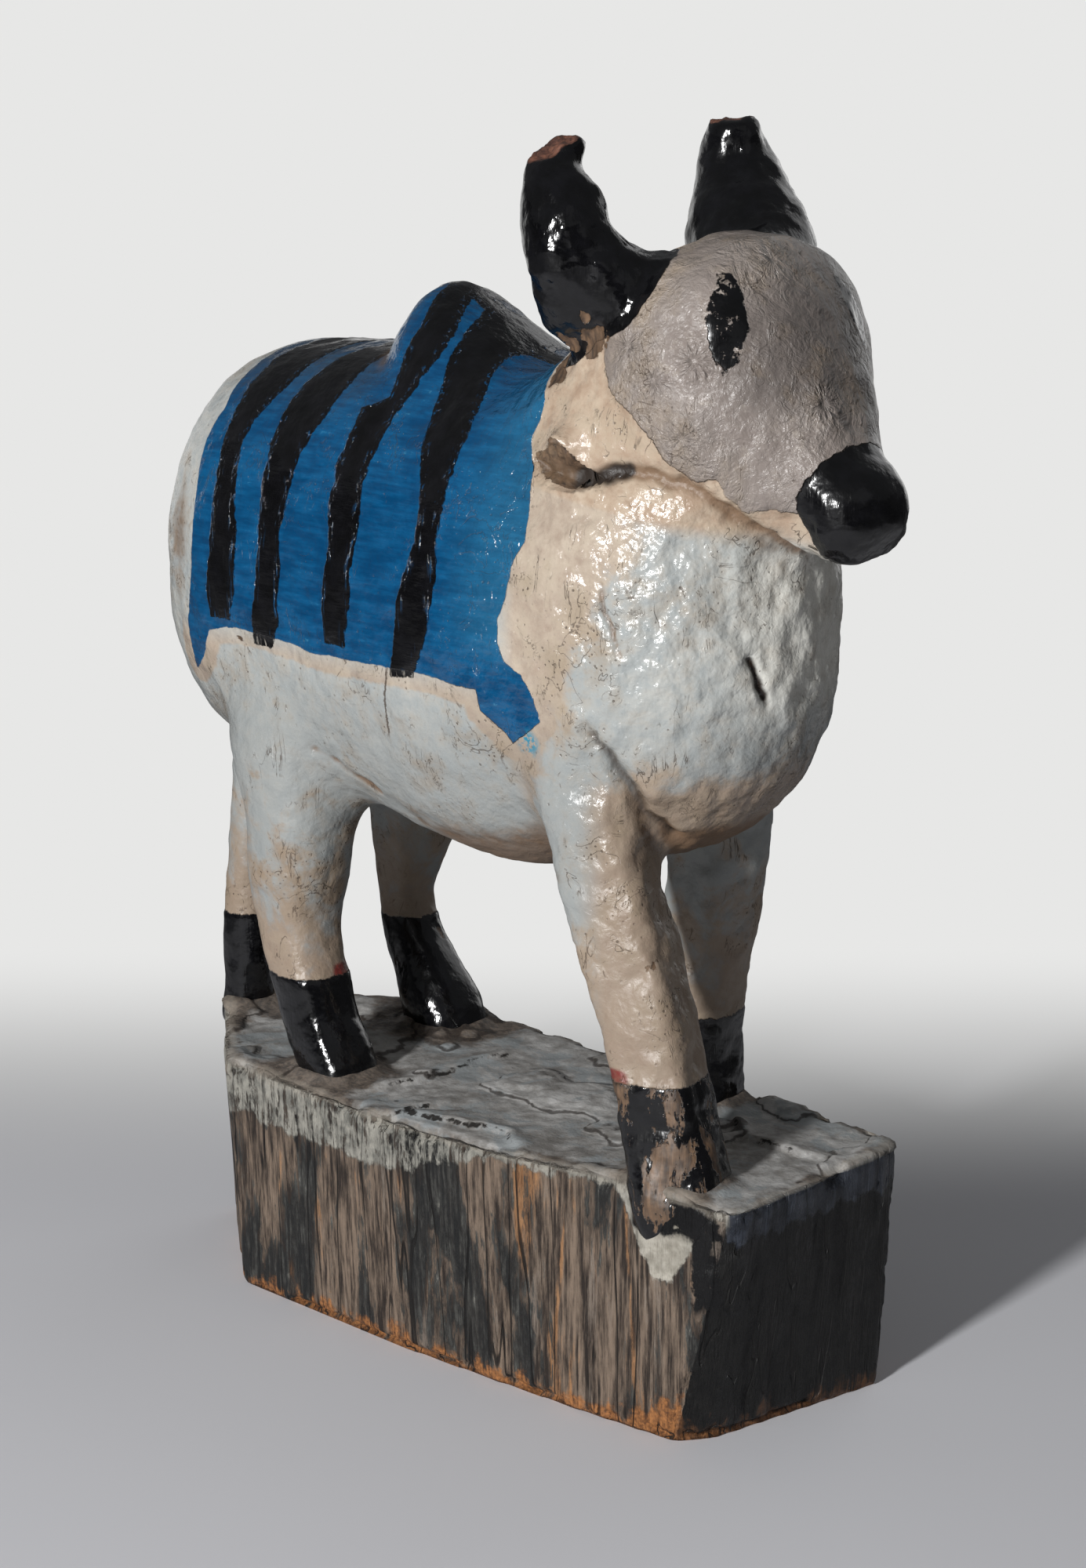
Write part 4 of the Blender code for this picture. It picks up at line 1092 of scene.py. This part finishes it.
# old timber: brown grain up the walls, slate paint remnants, pale paint along the top edge, raw foot edge
def plinthMaterial():
    material, root, shader = newMaterial("weathered_timber")
    here = root.place()
    x, y, z = here.axis("X"), here.axis("Y"), here.axis("Z")
    along = here.stretch(1, 1, 0.07)
    grain, streak, fine = along.noise(760, 5, 0.70), along.noise(190, 4, 0.62), here.noise(900, 3)
    board = here.stretch(1, 1, 0.22).noise(58, 4, 0.6, 0.5)
    plank = here.stretch(1, 1, 0.16).noise(105, 4, 0.6, 0.4)
    broad, blotch = here.noise(34, 4), here.noise(190, 5, 0.62)
    speck = here.stretch(1, 1, 0.35).noise(520, 4, 0.7)
    upper, front, wall = root.field("upper"), root.field("front"), root.field("wall")

    # walls: brown, tan and ash streaks under worn slate paint, tar on the front, raw wood at the foot
    rub = (grain - 0.5) * 0.9 + (speck - 0.5) * 0.4
    wood = (grain * 0.7 + streak * 0.4 + speck * 0.15).step(0.48, 0.76).mix(*timbers["brown"])
    tan = (grain * 0.7 + speck * 0.4).step(0.38, 0.72).mix(*timbers["tan"])
    wood = ((plank + rub * 0.35).step(0.56, 0.66) * 0.9).mix(wood, tan)
    ash = (here.stretch(1, 1, 0.12).noise(88, 4, 0.6) + rub * 0.5).step(0.56, 0.68)
    wood = (ash * 0.6).mix(wood, grain.step(0.3, 0.7).mix(*timbers["ash"]))
    slate = (board + rub * 0.45 + x.step(-20, -80) * 0.04).step(0.53, 0.58)
    wood = (slate * 0.94).mix(wood, (speck * 0.4 + grain * 0.6).step(0.46, 0.74).mix(*timbers["slate"]))
    scuff = (speck * 0.7 + grain * 0.4).step(0.68, 0.76) * slate
    wood = (scuff * 0.6).mix(wood, timbers["scuff"])
    tarry = (front + (blotch - 0.5) * 0.5 + (streak - 0.5) * 0.5).step(0.42, 0.56)
    wood = tarry.mix(wood, blotch.step(0.3, 0.8).mix(*timbers["tar"]))
    raw = (blotch - 0.5) * 18.0 - z + (streak - 0.5) * 16.0 + x.step(70, 100) * (1.0 - front) * 12.0
    raw = raw.step(-5.5, -1.5) * (1.0 - front * 0.8)
    wood = (raw * 0.9).mix(wood, (grain * 0.6 + fine * 0.5).step(0.38, 0.70).mix(*timbers["raw"]))
    cleft = here.stretch(1, 1, 0.04).veins(95, 0.014, 2.0, 0.2) * board.step(0.36, 0.46)
    wood = (cleft * 0.9).mix(wood, timbers["cleft"])

    # pale paint that runs down from the top edge, lower under the near fore hoof, and black drips there
    tongue = (x - 88.0).size().step(17.0, 3.0) * (1.0 - front)
    depth = 4.0 + x.step(34, -10) * 12.5 + tongue * 20.0 + front * 7.0
    edge = z - 70.0 + depth + (blotch - 0.5) * 8.0 + (streak - 0.5) * 9.0
    kept = ((grain - 0.5) * 0.9 + speck * 0.7 + tongue * 0.3 + front * 0.2).step(0.20, 0.34)
    cover = edge.step(0.0, 1.6) * kept * (1.0 - upper)
    pale = (blotch * 0.6 + speck * 0.5).step(0.38, 0.72).mix(*timbers["rim"])
    pale = (tongue * 0.8).mix(pale, blotch.step(0.3, 0.7).mix(*timbers["tongue"]))
    pale = front.mix(pale, blotch.step(0.3, 0.7).mix(*timbers["frontRim"]))
    colour = cover.mix(wood, pale)
    drip = (x - 101.5 + (blotch - 0.5) * 8.0).size().step(4.5, 3.5) * (z + (streak - 0.5) * 20.0).step(36, 40)
    spill = (x - 91.0).size().step(14.5, 12.5) * (z + (blotch - 0.5) * 9.0).step(57, 59)
    drip = drip.top(spill) * y.step(-22, -30) * wall
    colour = (drip * blotch.step(0.28, 0.34)).mix(colour, timbers["drip"])

    # painted top: grey white, dirty round the edges, dirt and painted shade round the feet, peeling and
    # cracked
    ground = (blotch * 0.6 + broad * 0.5).step(0.42, 0.72).mix(*timbers["ground"])
    cool = (here.noise(62, 4, 0.6, 0.8) + (fine - 0.5) * 0.2).step(0.50, 0.62)
    ground = cool.mix(ground, timbers["groundCool"])
    dirt = (here.noise(80, 4, 0.6, 0.6) - 0.5) * 1.8 + root.field("edge").step(0.0, 0.5) * 0.5
    # round each foot: dirt and painted shade
    feetDirtShade = [here.near(u, v, 70).step(wide, close) * share for u, v, wide, close, share in timbers["feet"]]
    for spot in feetDirtShade[1:]:
        feetDirtShade[0] = feetDirtShade[0].top(spot)
    dirt = (feetDirtShade[0] + dirt).step(0.35, 0.8)
    ground = (dirt * 0.85).mix(ground, (fine * 0.5 + blotch * 0.5).step(0.35, 0.65).mix(*timbers["dirt"]))
    peel = root.field("lift") + (blotch - 0.5) * 0.14
    ground = (peel.step(0.02, 0.07) * peel.step(0.15, 0.10) * 0.8).mix(ground, timbers["peel"])
    split = (root.field("crack") + (fine - 0.5) * 0.7 + (blotch - 0.45) * 4.0).step(0.8, 0.3)
    ground = (split * 0.95).mix(ground, timbers["crack"])
    colour = upper.mix(colour, ground)
    worn = (root.field("edge") + (blotch - 0.5) * 1.4).step(0.5, 0.9) * (1.0 - front) * z.step(55, 66)
    colour = (worn * 0.35).mix(colour, timbers["edge"])
    rough = 0.80 - tarry * 0.22 - cover * 0.15 - slate * 0.20 - drip * 0.4 + (grain - 0.5) * 0.1
    height = wall * (grain * 0.9 + streak * 0.4 - cleft * 0.8 + speck * 0.3)
    height = height + fine * 0.14 + blotch * 0.5 + cover * 0.25 - raw * 0.3
    wire(root, shader, colour, rough, height)
    return material


# plain peg wood with fine upright grain
def dowelMaterial():
    material, root, shader = newMaterial("dowel_wood")
    grain = root.place().stretch(1, 1, 0.08).noise(600, 5, 0.6)
    colour = grain.step(0.3, 0.7).mix(*timbers["peg"])
    wire(root, shader, colour, grain * 0.2 + 0.55, grain * 0.15)
    return material


paintMaterial, timberMaterial, pegMaterial = skinMaterial(), plinthMaterial(), dowelMaterial()
for name, piece in pieces.items():
    piece.data.materials.append(timberMaterial if name == "plinth" else paintMaterial)
    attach(piece, "root")
    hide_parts(name)
for name in ("head_dowel", "hump_dowel"):
    dowel = bpy.data.objects[name]
    dowel.data.materials.clear()
    dowel.data.materials.append(pegMaterial)
print("materials")


stage = {
    "radius": 2.4, "bend": 0.3, "height": 0.85, "rings": [0.3, 0.8, 1.4], "floor": tone(216, 216, 220),
    "far": tone(110, 110, 112), "glow": tone(231, 231, 230), "glowTop": tone(70, 70, 72),
}


# pale paper; away from the object it glows for the camera, and far behind it for reflections too
def paperMaterial():
    material, root, shader = newMaterial("studio_paper")
    here = root.place()
    depth = (here.axis("Y") - here.axis("X")) * 0.71
    far = here.near(0, 0, 0).step(250, 620).top(depth.step(80, 380))
    paper = far.mix(stage["floor"], stage["far"])
    root.tree.links.new(paper.socket, shader.inputs["Base Color"])
    shader.inputs["Roughness"].default_value = 0.9
    seen = root.node("ShaderNodeLightPath", output="Is Camera Ray")
    for kind in ("Is Glossy Ray", "Is Transmission Ray"):
        seen = seen.top(root.node("ShaderNodeLightPath", output=kind) * depth.step(1300, 2000))
    glow = here.axis("Z").step(520, 720).mix(stage["glow"], stage["glowTop"])
    glow = root.node("ShaderNodeEmission", {"Color": glow, "Strength": 1.0}, "Emission")
    paper = Value(root.tree, shader.outputs["BSDF"])
    paper = root.node("ShaderNodeMixShader", {0: seen * far, 1: paper, 2: glow}, "Shader")
    root.tree.links.new(paper.socket, root.tree.nodes["Material Output"].inputs["Surface"])
    return material


# a pale round floor that bends up into a low pale wall: a quarter circle between two flats, turned about z
def placeStage():
    turn = np.linspace(0, np.pi / 2, 16)
    bend = stage["radius"] - stage["bend"] * (1 - np.sin(turn))
    flat = np.array(stage["rings"])
    out = np.concatenate([flat, bend, [stage["radius"]]])[:, None]
    height = np.concatenate([0 * flat, stage["bend"] * (1 - np.cos(turn)), [stage["height"]]])[:, None]
    around = 2 * np.pi * np.arange(96) / 96
    grid = np.stack([out * np.cos(around), out * np.sin(around), height + 0 * around], -1)
    n, m = grid.shape[:2]
    fan = [(n * m, k, (k + 1) % m) for k in range(m)]
    faces = ringQuads(n, m)[:, ::-1].tolist() + fan
    floor = makeObject("studio_floor", np.vstack([grid.reshape(-1, 3), (0, 0, 0)]), faces)
    floor.data.polygons.foreach_set("use_smooth", np.ones(len(floor.data.polygons), bool))
    floor.data.materials.append(paperMaterial())


lamps = {
    "key": {"place": (0.40, -1.70, 0.64), "size": 0.18, "power": 40},
    "fill": {"place": (1.6, -0.7, 1.0), "size": 1.2, "power": 0.3},
    "back": {"place": (-0.3, 1.8, 0.9), "size": 1.6, "power": 4.0},
}
air = {"aim": (0.0, 0.0, 0.17), "colour": (0.95, 0.97, 1.0, 1), "strength": 0.12}


# round soft lamps, all turned to the middle of the object, in a faint even light
def placeLamps():
    aim = Vector(air["aim"])
    for name, setting in lamps.items():
        data = bpy.data.lights.new(name, "AREA")
        data.shape = "DISK"
        data.size = setting["size"]
        data.energy = setting["power"]
        lamp = bpy.data.objects.new(name, data)
        lamp.location = setting["place"]
        lamp.rotation_euler = (aim - Vector(setting["place"])).to_track_quat("-Z", "Y").to_euler()
        lamp.visible_camera = False
        scene.collection.objects.link(lamp)
    world = bpy.data.worlds.new("studio")
    scene.world = world
    world.use_nodes = True
    background = world.node_tree.nodes["Background"]
    background.inputs["Color"].default_value = air["colour"]
    background.inputs["Strength"].default_value = air["strength"]


camera = {"place": (0.6378, -0.6302, 0.3732), "azimuth": 45, "elevation": 13.5, "lens": 75.6, "sensor": 36}


def placeCamera():
    data = bpy.data.cameras.new("camera")
    data.lens = camera["lens"]
    data.sensor_width = camera["sensor"]
    view = bpy.data.objects.new("camera", data)
    azimuth, elevation = math.radians(camera["azimuth"]), math.radians(camera["elevation"])
    forward = Vector((-math.sin(azimuth) * math.cos(elevation), math.cos(azimuth) * math.cos(elevation),
                      -math.sin(elevation)))
    view.location = camera["place"]
    view.rotation_euler = forward.to_track_quat("-Z", "Y").to_euler()
    scene.collection.objects.link(view)
    scene.camera = view


placeCamera()
placeStage()
placeLamps()
scene.view_settings.view_transform = "Standard"
print("camera, floor and lamps")
